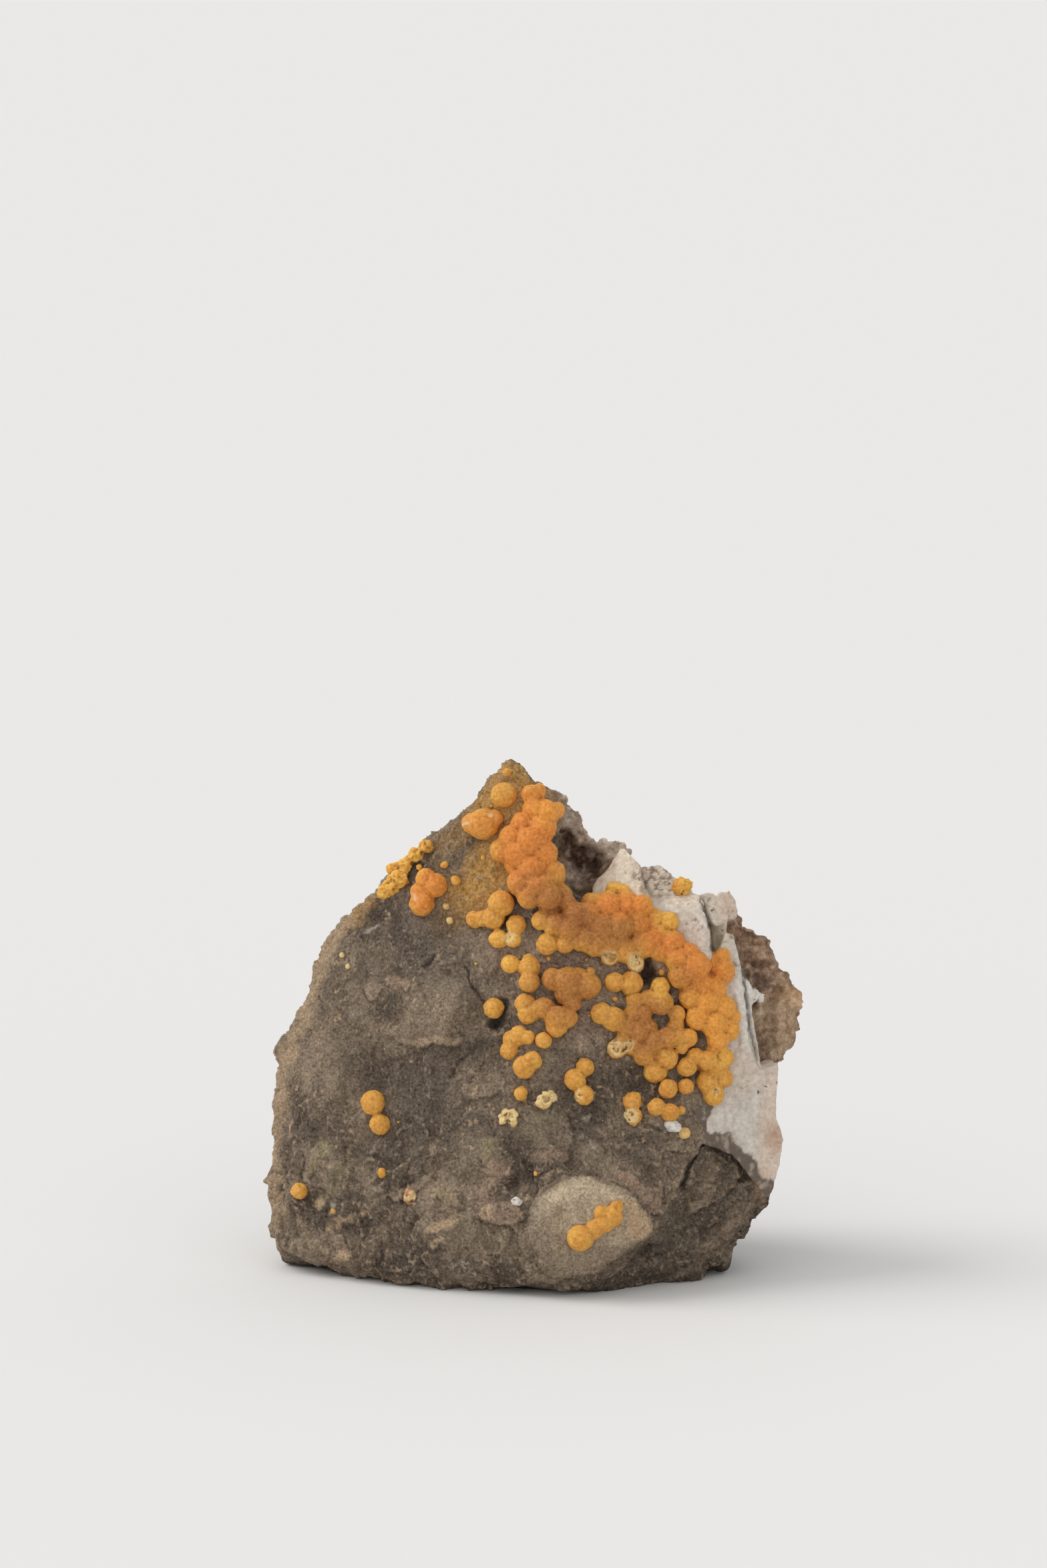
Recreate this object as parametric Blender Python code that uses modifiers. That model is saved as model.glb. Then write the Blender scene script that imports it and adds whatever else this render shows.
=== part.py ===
"""Mimetite on matrix, a loose mineral specimen about 60 mm across.

A broken slab of host rock carries a fused crust and separate clusters of round mimetite
balls. A vein of white calcite and a porous brown gossan close its upper right side.
Metres, +Z up. The origin is under the middle of the specimen, on the surface it rests on.
"""
import math

import bmesh
import bpy
from mathutils import Matrix, Vector, noise
from mathutils.bvhtree import BVHTree

MM = 0.001

# Driving dimensions, in millimetres
# The sheet is the upright plane square to the viewer's eye. u runs right, v up, w away.
LOOK_DOWN = 12.0          # degrees that the sheet leans back from upright
SHEET_X = -0.29           # where the sheet's own zero stands on the floor
SHEET_Y = -17.17
SHEET_Z = 1.46
GAP = 0.3                 # kept between one solid and the next
SLAB_DEPTH = 30.0         # of the plain slab before its faces are shaped

# The front face of the host rock
FACE_NEAR = 2.0
LEAN_FROM = 15.0
LEAN_BACK = 0.07
LEFT_FALL = 0.25
LEFT_CURVE = 0.006
RIGHT_CURVE = 0.007
TUCK_BELOW = 3.0          # the face turns under along its foot
TUCK = 0.12
RIM_WIDTH = 2.2
RIM_DEPTH = 1.7

# The broken back: each plane is depth at (0, 0), then its slope along u and along v
BACK_PLANES = (
    (31.0, -0.05, 0.0),
    (41.0, 0.0, -0.447),
    (24.5, 0.10, 0.62),
    (38.5, 0.46, -0.05),
    (37.0, -0.50, 0.0),
    (50.0, 0.35, -0.55),
)
BACK_TAPER = 0.22         # how much smaller the outline is at the back
TAPER_POWER = 1.3
TAPER_CENTRE = (0.0, 2.0)
THINNEST = 4.0
FLOOR_BLOCK = 200.0

# The host rock's outline on the sheet, clockwise from the peak
ROCK_OUTLINE = (
    (-2.6, 59.9), (-0.6, 57.0), (0.8, 56.1), (2.3, 54.3), (1.9, 52.0), (0.6, 50.2), (1.6, 48.6),
    (2.4, 46.6), (2.4, 44.8), (4.4, 42.7), (7.0, 43.4), (12.2, 43.2), (13.2, 41.2), (16.0, 38.6),
    (18.8, 36.8), (21.3, 36.4), (21.4, 33.0), (22.0, 29.0), (21.4, 25.0), (20.8, 22.4), (19.2, 19.6),
    (19.2, 18.3), (21.2, 17.0), (23.2, 16.6), (24.0, 14.6), (25.6, 12.4), (26.2, 10.3), (25.7, 9.7),
    (23.6, 7.2), (21.3, 3.5), (19.2, 2.7), (17.85, 1.1), (15.4, 1.9), (13.4, 1.2), (11.5, 0.0),
    (8.2, 0.2), (2.4, 0.4), (-11.1, 0.6), (-16.5, 1.4), (-21.8, 2.05), (-25.5, 3.2), (-29.2, 3.9),
    (-29.65, 7.2), (-30.0, 11.3), (-29.9, 17.5), (-29.0, 24.9), (-28.4, 26.9), (-26.4, 29.8),
    (-25.5, 33.9), (-23.9, 38.5), (-21.2, 41.7), (-17.5, 45.4), (-15.3, 47.9), (-11.1, 50.6),
    (-7.4, 53.5), (-6.2, 55.3), (-4.6, 57.4),
)

# The front slab ends in a step at the lower right: place on the sheet and height of the step
STEP_LINE = (
    (2.0, 0.0, 1.2), (5.3, 1.9, 2.4), (9.4, 4.3, 3.4), (13.1, 6.8, 3.4), (14.0, 8.6, 3.0),
    (14.8, 10.9, 2.4), (16.6, 12.3, 1.4), (19.3, 17.1, 0.7),
)
STEP_CORNER = ((30.0, 17.0), (30.0, -4.0), (2.0, -4.0))
STEP_RUN = 1.0            # how wide the step's own wall looks from the front
STEP_FALL = 0.26          # the low ground falls away from the step

# Low flakes and hollows of the front face: centre, half sizes, turn in degrees, height
FLAKES = (
    (6.0, 8.6, 8.4, 4.4, 24.0, 1.1),
    (-4.6, 9.6, 3.2, 2.0, 10.0, 0.6),
    (-10.5, 8.0, 4.0, 3.0, 60.0, 0.5),
    (-13.0, 30.5, 6.5, 5.0, 20.0, 0.7),
    (-23.0, 22.0, 3.5, 9.0, 0.0, 0.6),
    (-6.0, 27.0, 4.0, 6.0, -25.0, -0.7),
    (-16.0, 14.0, 6.0, 4.0, -20.0, -0.5),
)

# Calcite: each block is its near and far depth, the lean of its near face along u and v,
# and its outline
CALCITE_BLOCKS = (
    (6.0, 15.0, (-0.50, 0.30), (
        (6.2, 42.0), (6.3, 44.9), (6.9, 45.9), (7.9, 47.1), (8.6, 47.6), (9.0, 49.2), (10.0, 49.7),
        (10.9, 49.0), (11.3, 47.9), (12.4, 45.6), (12.6, 41.5))),
    (7.4, 16.0, (0.10, 0.55), (
        (11.0, 46.4), (12.1, 47.2), (13.3, 47.6), (14.7, 47.0), (15.5, 46.0), (16.9, 46.0),
        (17.6, 44.6), (17.6, 42.0), (12.0, 41.5))),
    (4.6, 14.0, (-0.30, 0.15), (
        (13.4, 43.3), (15.0, 43.8), (17.6, 44.5), (18.4, 43.9), (19.1, 42.5), (19.5, 40.6),
        (19.7, 37.2), (18.5, 34.8), (14.5, 37.0), (12.2, 41.5))),
    (7.6, 16.5, (0.40, 0.10), (
        (17.9, 44.2), (19.1, 44.5), (20.7, 43.9), (21.7, 42.5), (21.4, 40.4), (22.3, 39.2),
        (22.2, 35.5), (18.4, 34.5))),
    (10.4, 17.5, (0.30, 0.20), (
        (19.8, 43.4), (20.4, 44.4), (21.7, 44.8), (22.6, 43.8), (22.9, 42.8), (22.3, 41.0),
        (20.0, 39.0))),
    (6.2, 15.5, (0.28, 0.02), (
        (21.2, 40.0), (22.3, 39.1), (23.0, 36.0), (23.5, 31.0), (24.1, 26.5), (25.1, 24.4),
        (27.2, 25.2), (27.1, 22.8), (26.9, 19.1), (27.8, 16.7), (27.3, 13.8), (26.7, 11.3),
        (26.2, 10.1), (24.6, 11.5), (22.0, 15.0), (17.5, 16.5), (17.4, 20.5), (19.6, 25.0),
        (19.8, 36.0))),
)

# Gossan: the same, behind the calcite
GOSSAN_BLOCKS = (
    (9.0, 19.0, (0.15, 0.0), (
        (0.6, 56.0), (2.4, 56.2), (3.3, 55.6), (3.4, 54.3), (4.9, 53.8), (5.4, 51.6), (5.7, 50.6),
        (6.9, 49.8), (7.8, 50.4), (9.4, 50.5), (10.4, 49.7), (10.8, 46.0), (8.0, 41.5),
        (2.0, 41.5), (-1.0, 48.0), (-1.0, 54.0))),
    (14.5, 21.5, (0.0, 0.0), (
        (3.0, 44.0), (5.0, 49.0), (10.0, 48.6), (14.0, 46.6), (17.6, 43.8), (22.2, 43.6),
        (23.4, 40.0), (22.5, 33.0), (16.0, 33.0), (8.0, 38.0))),
    (9.6, 22.5, (0.30, 0.10), (
        (21.2, 41.3), (22.2, 40.9), (24.5, 40.5), (26.5, 37.7), (29.2, 34.5), (30.3, 32.4),
        (29.7, 29.2), (27.9, 25.3), (25.4, 24.2), (21.0, 22.5), (19.0, 30.0), (19.5, 38.0))),
)

# The blocks narrow toward the back: how much is left there, and about which place
CALCITE_TAPER = (0.80, 15.0, 34.0)
GOSSAN_TAPER = (0.74, 8.0, 34.0)

# Mimetite balls: place on the sheet and diameter
MIMETITE = {
    "crust": (
        (-0.6, 55.3, 2.1), (0.3, 55.7, 1.6), (-0.3, 53.5, 2.4), (1.0, 53.1, 3.0), (2.3, 53.5, 1.9),
        (-1.5, 52.0, 2.6), (0.6, 51.5, 3.2), (-2.7, 50.4, 2.8), (-0.6, 50.0, 3.4), (-3.9, 49.0, 2.5),
        (-1.9, 48.7, 3.2), (0.7, 48.6, 3.2), (-2.4, 47.4, 2.2), (-0.4, 46.9, 3.2), (1.7, 46.4, 3.0),
        (-1.7, 45.4, 3.0), (0.4, 45.0, 3.2), (-0.8, 43.9, 2.7), (1.4, 43.7, 2.8), (2.8, 44.0, 2.3),
        (3.5, 43.1, 2.0), (0.5, 41.2, 2.0), (2.1, 40.7, 2.5), (1.2, 38.5, 2.3), (3.2, 38.5, 2.0),
        (3.6, 40.2, 2.6), (4.4, 41.8, 2.8), (5.2, 39.1, 2.8), (5.9, 41.6, 3.0), (6.2, 43.1, 2.3),
        (6.6, 38.6, 2.8), (7.3, 40.4, 3.2), (8.0, 42.8, 3.2), (8.4, 38.4, 2.8), (8.2, 37.1, 1.9),
        (9.3, 40.6, 3.2), (10.2, 42.9, 2.9), (9.9, 37.9, 2.8), (11.1, 36.4, 1.9), (11.2, 40.8, 3.2),
        (11.9, 42.9, 2.3), (12.0, 38.6, 3.0), (12.9, 41.3, 2.6), (13.4, 39.3, 3.2), (13.8, 37.8, 2.4),
        (14.8, 41.1, 2.2), (15.2, 38.6, 2.9), (15.9, 36.9, 3.0), (17.0, 37.5, 2.4), (16.2, 35.0, 2.8),
        (17.8, 36.0, 3.0), (19.5, 36.3, 2.9), (20.8, 37.2, 1.9), (20.9, 35.5, 2.6), (18.2, 34.2, 2.8),
        (19.9, 33.8, 2.7), (17.3, 32.6, 2.6), (19.0, 32.0, 3.0), (20.8, 31.4, 2.9), (21.9, 30.5, 1.9),
        (18.0, 30.3, 2.6), (19.9, 29.6, 3.0), (21.4, 29.0, 2.6), (20.3, 27.9, 2.4), (21.0, 25.9, 2.1),
        (19.1, 25.6, 2.1), (17.8, 26.0, 1.9), (16.8, 24.8, 2.1), (20.2, 24.6, 2.4), (21.0, 23.6, 2.0),
        (19.1, 23.1, 2.3), (19.8, 21.8, 2.3), (8.7, 44.6, 1.8), (9.8, 44.4, 1.6)),
    "lower_right": (
        (7.3, 30.8, 2.3), (8.6, 30.2, 2.6), (11.1, 32.1, 2.1), (10.8, 30.8, 2.1), (11.8, 30.7, 2.2),
        (12.5, 32.4, 2.0), (13.9, 32.0, 2.7), (13.9, 33.8, 2.1), (10.2, 29.1, 2.3), (9.0, 26.9, 2.1),
        (9.9, 28.0, 2.0), (11.4, 28.7, 2.5), (12.5, 29.2, 2.0), (10.7, 27.2, 2.0), (12.1, 26.3, 2.5),
        (13.2, 27.6, 2.4), (14.6, 28.0, 2.4), (13.3, 24.3, 2.5), (14.6, 25.8, 2.4), (15.7, 30.7, 1.9),
        (15.6, 29.5, 1.8), (16.0, 28.2, 2.0), (17.0, 28.1, 2.0), (16.3, 27.0, 1.3)),
    "middle": (
        (1.8, 34.6, 2.3), (3.5, 34.3, 3.2), (4.7, 34.9, 2.0), (5.7, 33.9, 2.9), (6.1, 35.4, 1.1),
        (3.3, 33.0, 2.4), (4.0, 32.0, 2.0), (3.6, 30.3, 2.0), (2.3, 30.3, 2.6), (2.3, 29.3, 2.3),
        (0.9, 31.4, 2.3), (0.2, 31.2, 2.0), (-1.2, 31.9, 2.2), (-0.8, 30.8, 2.3)),
    "upper_left_edge": (
        (-12.4, 49.6, 1.5), (-13.5, 48.6, 1.6), (-14.6, 47.6, 1.5), (-15.9, 47.0, 1.8),
        (-15.4, 46.0, 2.0), (-16.3, 45.2, 1.9), (-17.0, 44.4, 1.6)),
    "left_large": (
        (-12.3, 45.9, 2.3), (-11.3, 45.2, 2.6), (-12.9, 44.4, 2.3), (-12.8, 43.1, 2.6)),
    "peak": ((-3.6, 55.2, 2.75),),
    "below_peak": ((-7.1, 52.1, 2.2), (-5.9, 52.0, 3.3), (-4.7, 52.6, 2.0)),
    "beside_crust": (
        (-3.9, 43.1, 2.75), (-4.7, 41.5, 2.5), (-5.9, 41.4, 1.8), (-6.9, 41.3, 1.9),
        (-2.2, 40.7, 2.1), (-4.2, 39.1, 2.0), (-2.5, 39.1, 1.8)),
    "yellow_and_orange": (
        (-2.9, 36.3, 2.0), (-0.75, 35.9, 2.4), (-0.75, 34.3, 2.2), (-0.9, 36.8, 1.3)),
    "crack_ball": ((-4.7, 31.4, 2.2),),
    "middle_pair": ((8.8, 34.3, 2.1), (10.6, 34.2, 2.5)),
    "hooked": ((-1.9, 28.3, 2.1), (-2.7, 27.9, 1.9), (-0.9, 28.1, 1.5), (-2.9, 26.7, 2.1)),
    "beside_hook": ((0.8, 27.8, 1.8),),
    "oval": ((-0.4, 25.6, 2.0), (-1.3, 24.8, 2.4)),
    "row_of_three": ((5.5, 24.8, 1.95), (4.3, 23.4, 2.3), (5.3, 21.7, 2.1)),
    "small_round": ((-1.7, 21.9, 1.55),),
    "pale_broken_right": ((0.8, 21.0, 1.5), (1.5, 21.5, 1.4)),
    "pale_broken_left": ((-3.6, 19.3, 1.3), (-2.7, 19.3, 1.4)),
    "right_low": ((14.7, 22.4, 2.1),),
    "right_low_small": ((16.7, 22.7, 1.75),),
    "broken_pair": ((10.7, 21.0, 2.1), (10.8, 19.4, 1.9)),
    "chipped_pair": ((13.4, 20.4, 1.9), (14.9, 19.8, 2.0)),
    "bead_right": ((16.2, 20.0, 1.0),),
    "low_right_bead": ((16.5, 17.5, 1.3),),
    "far_left_pair": ((-18.3, 20.8, 2.6), (-17.5, 18.4, 2.2)),
    "left_ball": ((-26.7, 10.8, 1.8),),
    "left_bead": ((-17.3, 12.9, 1.1),),
    "pink_broken": ((-14.0, 10.3, 1.7),),
    "upper_bead": ((-9.0, 45.7, 1.1),),
    "on_flake": (
        (4.9, 5.9, 2.8), (6.4, 6.8, 2.0), (7.5, 7.6, 2.2), (8.4, 8.3, 2.3), (8.9, 9.2, 1.5),
        (7.2, 8.7, 1.6)),
    "on_calcite": ((16.5, 45.3, 1.9),),
}
CHIPS = {
    "white_chip_right": (15.3, 18.2, 1.5),
    "white_chip_low": (-2.1, 9.9, 1.1),
}
BALL_LIFT = 0.35          # a ball's centre above the rock, in its own radii
BALL_GROWTH = 1.05        # makes up for what thinning takes off a ball
CHIP_LIFT = 0.10

LONE_BALL_DETAIL = 2
JOINED_BALL_DETAIL = 3
IN_FRONT = 20.0           # mm before the sheet, where the surface is looked at from

# Broken surfaces: the size of a facet and its slope, or the length and height of a swell
ROCK_GROWTH = 0.4         # makes up for what the rounded corners lose
ROCK_FACETS = ((8.0, 0.15), (4.0, 0.12))
ROCK_SWELLS = ((14.0, 0.8), (3.0, 0.25))
CALCITE_FACETS = ((5.0, 0.26),)
CALCITE_SWELLS = ((4.0, 0.35),)
GOSSAN_FACETS = ((4.0, 0.25),)
GOSSAN_SWELLS = ((6.0, 1.1), (2.0, 0.8))
CHIP_FACETS = ((0.8, 0.5),)
CELL_STRIDE = 7.31        # keeps the tilts of neighbouring facets apart
FACET_SEED = 3            # picks the tilts, the same in every run
FLAKE_FLAT = 0.75         # of a flake's half size
FLAKE_EDGE = 0.40
SHARP_ANGLE = 50.0

# Mesh fineness
ROCK_VOXEL = 0.75
VEIN_VOXEL = 0.6
BALL_VOXEL = 0.32
ROCK_TRIANGLES = 2250
CALCITE_TRIANGLES = 750
GOSSAN_TRIANGLES = 850
TRIANGLES_PER_BALL = 18
TRIANGLES_PER_CLUSTER = 24
WELD = 0.00001

# Finishes: colour, then roughness
HOST_LIMESTONE = ((0.16, 0.13, 0.10), 0.85)
WHITE_CALCITE = ((0.66, 0.60, 0.54), 0.55)
BROWN_GOSSAN = ((0.15, 0.10, 0.07), 0.90)
ORANGE_MIMETITE = ((0.58, 0.24, 0.05), 0.60)


def clear_scene():
    for found in list(bpy.data.objects):
        bpy.data.objects.remove(found, do_unlink=True)


def make_collection(name, hidden=False):
    collection = bpy.data.collections.new(name)
    bpy.context.scene.collection.children.link(collection)
    collection.hide_render = hidden
    return collection


def make_material(name, finish):
    colour, roughness = finish
    material = bpy.data.materials.new(name)
    material.use_nodes = True
    shader = material.node_tree.nodes["Principled BSDF"]
    shader.inputs["Base Color"].default_value = (*colour, 1.0)
    shader.inputs["Roughness"].default_value = roughness
    shader.inputs["Metallic"].default_value = 0.0
    return material


def object_from_mesh(name, mesh, collection):
    made = bpy.data.objects.new(name, mesh)
    collection.objects.link(made)
    return made


def make_cutter(target):
    target.display_type = "WIRE"
    target.hide_render = True
    return target


def apply_modifiers(target):
    """Replace an object's mesh with what its modifiers make of it."""
    bpy.context.view_layer.update()
    seen = target.evaluated_get(bpy.context.evaluated_depsgraph_get())
    mesh = bpy.data.meshes.new_from_object(seen)
    old = target.data
    target.modifiers.clear()
    target.data = mesh
    bpy.data.meshes.remove(old)


def weld(target):
    """Merge corners that share a place, and leave only triangles."""
    shape = bmesh.new()
    shape.from_mesh(target.data)
    bmesh.ops.remove_doubles(shape, verts=shape.verts, dist=WELD)
    bmesh.ops.dissolve_degenerate(shape, edges=shape.edges, dist=WELD)
    bmesh.ops.triangulate(shape, faces=shape.faces)
    shape.to_mesh(target.data)
    shape.free()


def remesh(target, voxel):
    step = target.modifiers.new("remesh", "REMESH")
    step.mode = "VOXEL"
    step.voxel_size = voxel * MM
    apply_modifiers(target)


def thin_out(target, triangles):
    """Bring a dense mesh down to about this many triangles."""
    weld(target)
    count = len(target.data.polygons)
    if count > triangles:
        step = target.modifiers.new("thin_out", "DECIMATE")
        step.ratio = triangles / count
        apply_modifiers(target)


def cut_away(target, cutter):
    step = target.modifiers.new("cut", "BOOLEAN")
    step.operation = "DIFFERENCE"
    step.solver = "EXACT"
    step.use_self = True
    step.object = cutter
    apply_modifiers(target)


def joined_faces(shape):
    """The faces of a mesh in groups, one for each body, largest last."""
    unseen = set(shape.faces)
    groups = []
    while unseen:
        front = [unseen.pop()]
        group = list(front)
        while front:
            face = front.pop()
            plain = [edge for edge in face.edges if len(edge.link_faces) == 2]
            beside = {other for edge in plain for other in edge.link_faces}
            fresh = beside & unseen
            unseen -= fresh
            front.extend(fresh)
            group.extend(fresh)
        groups.append(group)
    return sorted(groups, key=len)


def keep_largest(target):
    """Drop the crumbs that a cut leaves beside the main body."""
    shape = bmesh.new()
    shape.from_mesh(target.data)
    crumbs = [face for group in joined_faces(shape)[:-1] for face in group]
    bmesh.ops.delete(shape, geom=crumbs, context="FACES")
    shape.to_mesh(target.data)
    shape.free()


def outline_solid(name, outline, near, far, collection):
    """A flat outline on the sheet, given thickness from near to far."""
    curve = bpy.data.curves.new(name, "CURVE")
    curve.dimensions = "2D"
    curve.fill_mode = "BOTH"
    curve.extrude = (far - near) / 2 * MM
    spline = curve.splines.new("POLY")
    spline.points.add(len(outline) - 1)
    spline.use_cyclic_u = True
    for point, (u, v) in zip(spline.points, outline):
        point.co = (u * MM, v * MM, 0.0, 1.0)
    shown = object_from_mesh(name + "_outline", curve, collection)
    shown.location.z = -(near + far) / 2 * MM
    bpy.context.view_layer.update()
    seen = shown.evaluated_get(bpy.context.evaluated_depsgraph_get())
    mesh = bpy.data.meshes.new_from_object(seen)
    mesh.transform(shown.matrix_world)
    bpy.data.objects.remove(shown)
    solid = object_from_mesh(name, mesh, collection)
    weld(solid)
    return solid


def join_meshes(target, others):
    """Move the meshes of the others into the target."""
    shape = bmesh.new()
    shape.from_mesh(target.data)
    for other in others:
        shape.from_mesh(other.data)
        bpy.data.objects.remove(other)
    shape.to_mesh(target.data)
    shape.free()


def distance_to_line(u, v, start, end):
    """Distance to a straight stretch, and how far along it the nearest place is, 0 to 1."""
    across = end[0] - start[0]
    up = end[1] - start[1]
    along = ((u - start[0]) * across + (v - start[1]) * up) / (across * across + up * up)
    along = min(1.0, max(0.0, along))
    return math.hypot(u - start[0] - along * across, v - start[1] - along * up), along


def distance_to_outline(u, v, outline):
    following = outline[1:] + outline[:1]
    return min(distance_to_line(u, v, start, end)[0] for start, end in zip(outline, following))


def inside(u, v, outline):
    """Whether a place lies within an outline, by counting the sides to its right."""
    crossings = 0
    following = outline[1:] + outline[:1]
    for (u1, v1), (u2, v2) in zip(outline, following):
        if (v1 > v) != (v2 > v) and u < u1 + (v - v1) / (v2 - v1) * (u2 - u1):
            crossings += 1
    return crossings % 2 == 1


def ease(value):
    """A smooth rise from 0 to 1."""
    value = min(1.0, max(0.0, value))
    return value * value * (3.0 - 2.0 * value)


def step_depth(u, v):
    """How far the stepped-back lower right lies behind the front slab."""
    corner = tuple(point[:2] for point in STEP_LINE) + STEP_CORNER
    if not inside(u, v, corner):
        return 0.0
    stretches = []
    for start, end in zip(STEP_LINE, STEP_LINE[1:]):
        distance, along = distance_to_line(u, v, start[:2], end[:2])
        stretches.append((distance, start[2] + along * (end[2] - start[2])))
    distance, height = min(stretches)
    return height * ease(distance / STEP_RUN) + STEP_FALL * distance


def flake_height(u, v):
    """Low plates and hollows of the broken front face, flat inside and steep at the edge."""
    total = 0.0
    for at_u, at_v, half_u, half_v, turn, height in FLAKES:
        angle = math.radians(turn)
        across = (u - at_u) * math.cos(angle) + (v - at_v) * math.sin(angle)
        up = (v - at_v) * math.cos(angle) - (u - at_u) * math.sin(angle)
        reach = math.hypot(across / half_u, up / half_v)
        total += height * (1.0 - ease((reach - FLAKE_FLAT) / FLAKE_EDGE))
    return total


def face_depth(u, v):
    """Depth of the broken front face behind the sheet."""
    depth = FACE_NEAR + LEAN_BACK * max(0.0, v - LEAN_FROM)
    if u < 0.0:
        depth += LEFT_FALL * -u + LEFT_CURVE * u * u
    else:
        depth += RIGHT_CURVE * u * u
    depth += TUCK * max(0.0, TUCK_BELOW - v) ** 2
    return depth + step_depth(u, v) - flake_height(u, v)


def back_depth(u, v):
    return min(depth + along * u + up * v for depth, along, up in BACK_PLANES)


def rim_depth(u, v):
    """How far the front face rolls back at its rim."""
    distance = distance_to_outline(u, v, ROCK_OUTLINE)
    if distance >= RIM_WIDTH:
        return 0.0
    lean = 1.0 - distance / RIM_WIDTH
    return RIM_DEPTH * (1.0 - math.sqrt(1.0 - lean * lean))


def shape_rock(target):
    """Bend the plain slab's faces to the broken front and back."""
    for corner in target.data.vertices:
        u = corner.co.x / MM
        v = corner.co.y / MM
        part_way = min(1.0, max(0.0, -corner.co.z / MM / SLAB_DEPTH))
        near = face_depth(u, v) + rim_depth(u, v)
        far = max(near + THINNEST, back_depth(u, v))
        scale = 1.0 - BACK_TAPER * part_way ** TAPER_POWER
        corner.co.x = (TAPER_CENTRE[0] + scale * (u - TAPER_CENTRE[0])) * MM
        corner.co.y = (TAPER_CENTRE[1] + scale * (v - TAPER_CENTRE[1])) * MM
        corner.co.z = -(near + part_way * (far - near)) * MM


def chip_facets(place, size, slope):
    """Height of flat broken facets: each cell of a cracked pattern tilts its own way."""
    cell = noise.voronoi(place / size)[1][0]
    tilt = noise.noise_vector(cell * CELL_STRIDE)
    return slope * size * (place / size - cell).dot(tilt)


def roughen(target, growth, facets, swells):
    """Break up a surface along its normals: growth, flat facets, then rounded swells, in mm."""
    target.data.update()
    moves = []
    for corner in target.data.vertices:
        place = corner.co / MM
        height = growth + sum(chip_facets(place, size, slope) for size, slope in facets)
        height += sum(swell * noise.noise(place / wave) for wave, swell in swells)
        moves.append(corner.normal * height * MM)
    for corner, move in zip(target.data.vertices, moves):
        corner.co += move


def clearance_copy(target, collection):
    """The same body swollen by the gap, to cut its neighbours with."""
    cutter = object_from_mesh(target.name + "_clearance", target.data.copy(), collection)
    cutter.data.update()
    moves = [corner.normal * GAP * MM for corner in cutter.data.vertices]
    for corner, move in zip(cutter.data.vertices, moves):
        corner.co += move
    return make_cutter(cutter)


def floor_cutter(sheet, collection):
    """A large block whose top is the surface that the specimen stands on."""
    shape = bmesh.new()
    bmesh.ops.create_cube(shape, size=FLOOR_BLOCK * MM)
    mesh = bpy.data.meshes.new("below_floor")
    shape.to_mesh(mesh)
    shape.free()
    below = object_from_mesh("below_floor", mesh, collection)
    below.matrix_world = sheet.matrix_world.inverted() @ Matrix.Translation((0, 0, -FLOOR_BLOCK / 2 * MM))
    return make_cutter(below)


def lean_and_taper(block, outline, middle_depth, lean, taper):
    """Tilt a block's near face and narrow its far one."""
    middle_u = sum(point[0] for point in outline) / len(outline)
    middle_v = sum(point[1] for point in outline) / len(outline)
    left, centre_u, centre_v = taper
    for corner in block.data.vertices:
        u = corner.co.x / MM
        v = corner.co.y / MM
        if -corner.co.z / MM < middle_depth:
            corner.co.z -= (lean[0] * (u - middle_u) + lean[1] * (v - middle_v)) * MM
        else:
            corner.co.x = (centre_u + left * (u - centre_u)) * MM
            corner.co.y = (centre_v + left * (v - centre_v)) * MM


def block_body(name, blocks, taper, collection):
    """Several thick outlines melted into one body."""
    solids = []
    for near, far, lean, outline in blocks:
        block = outline_solid(name, outline, near, far, collection)
        lean_and_taper(block, outline, (near + far) / 2, lean, taper)
        solids.append(block)
    body = solids[0]
    join_meshes(body, solids[1:])
    body.name = name
    remesh(body, VEIN_VOXEL)
    return body


def fit_between(target, rooms, triangles, cutters):
    """Cut a body clear of what it grew on, after adding to the rooms the one it needs itself."""
    thin_out(target, triangles)
    own_room = clearance_copy(target, cutters)
    for room in rooms:
        cut_away(target, room)
    thin_out(target, triangles)
    weld(target)
    keep_largest(target)
    rooms.append(own_room)


def make_rock(sheet, collection, cutters):
    rock = outline_solid("host_rock", ROCK_OUTLINE, 0.0, SLAB_DEPTH, collection)
    remesh(rock, ROCK_VOXEL)
    shape_rock(rock)
    remesh(rock, ROCK_VOXEL)
    roughen(rock, ROCK_GROWTH, ROCK_FACETS, ROCK_SWELLS)
    thin_out(rock, ROCK_TRIANGLES)
    weld(rock)
    cut_away(rock, floor_cutter(sheet, cutters))
    weld(rock)
    keep_largest(rock)
    return rock


def make_calcite(rooms, collection, cutters):
    calcite = block_body("calcite_vein", CALCITE_BLOCKS, CALCITE_TAPER, collection)
    roughen(calcite, 0.0, CALCITE_FACETS, CALCITE_SWELLS)
    fit_between(calcite, rooms, CALCITE_TRIANGLES, cutters)
    return calcite


def make_gossan(rooms, collection, cutters):
    gossan = block_body("vuggy_gossan", GOSSAN_BLOCKS, GOSSAN_TAPER, collection)
    roughen(gossan, 0.0, GOSSAN_FACETS, GOSSAN_SWELLS)
    fit_between(gossan, rooms, GOSSAN_TRIANGLES, cutters)
    return gossan


def surface_reader(targets):
    """A function that gives the depth of the first surface seen at a place on the sheet."""
    shape = bmesh.new()
    for target in targets:
        shape.from_mesh(target.data)
    tree = BVHTree.FromBMesh(shape)
    shape.free()

    def depth_at(u, v):
        start = Vector((u * MM, v * MM, IN_FRONT * MM))
        hit = tree.ray_cast(start, Vector((0.0, 0.0, -1.0)))[0]
        if hit is None:
            hit = tree.find_nearest(Vector((u * MM, v * MM, -face_depth(u, v) * MM)))[0]
        return -hit.z / MM

    return depth_at


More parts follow.
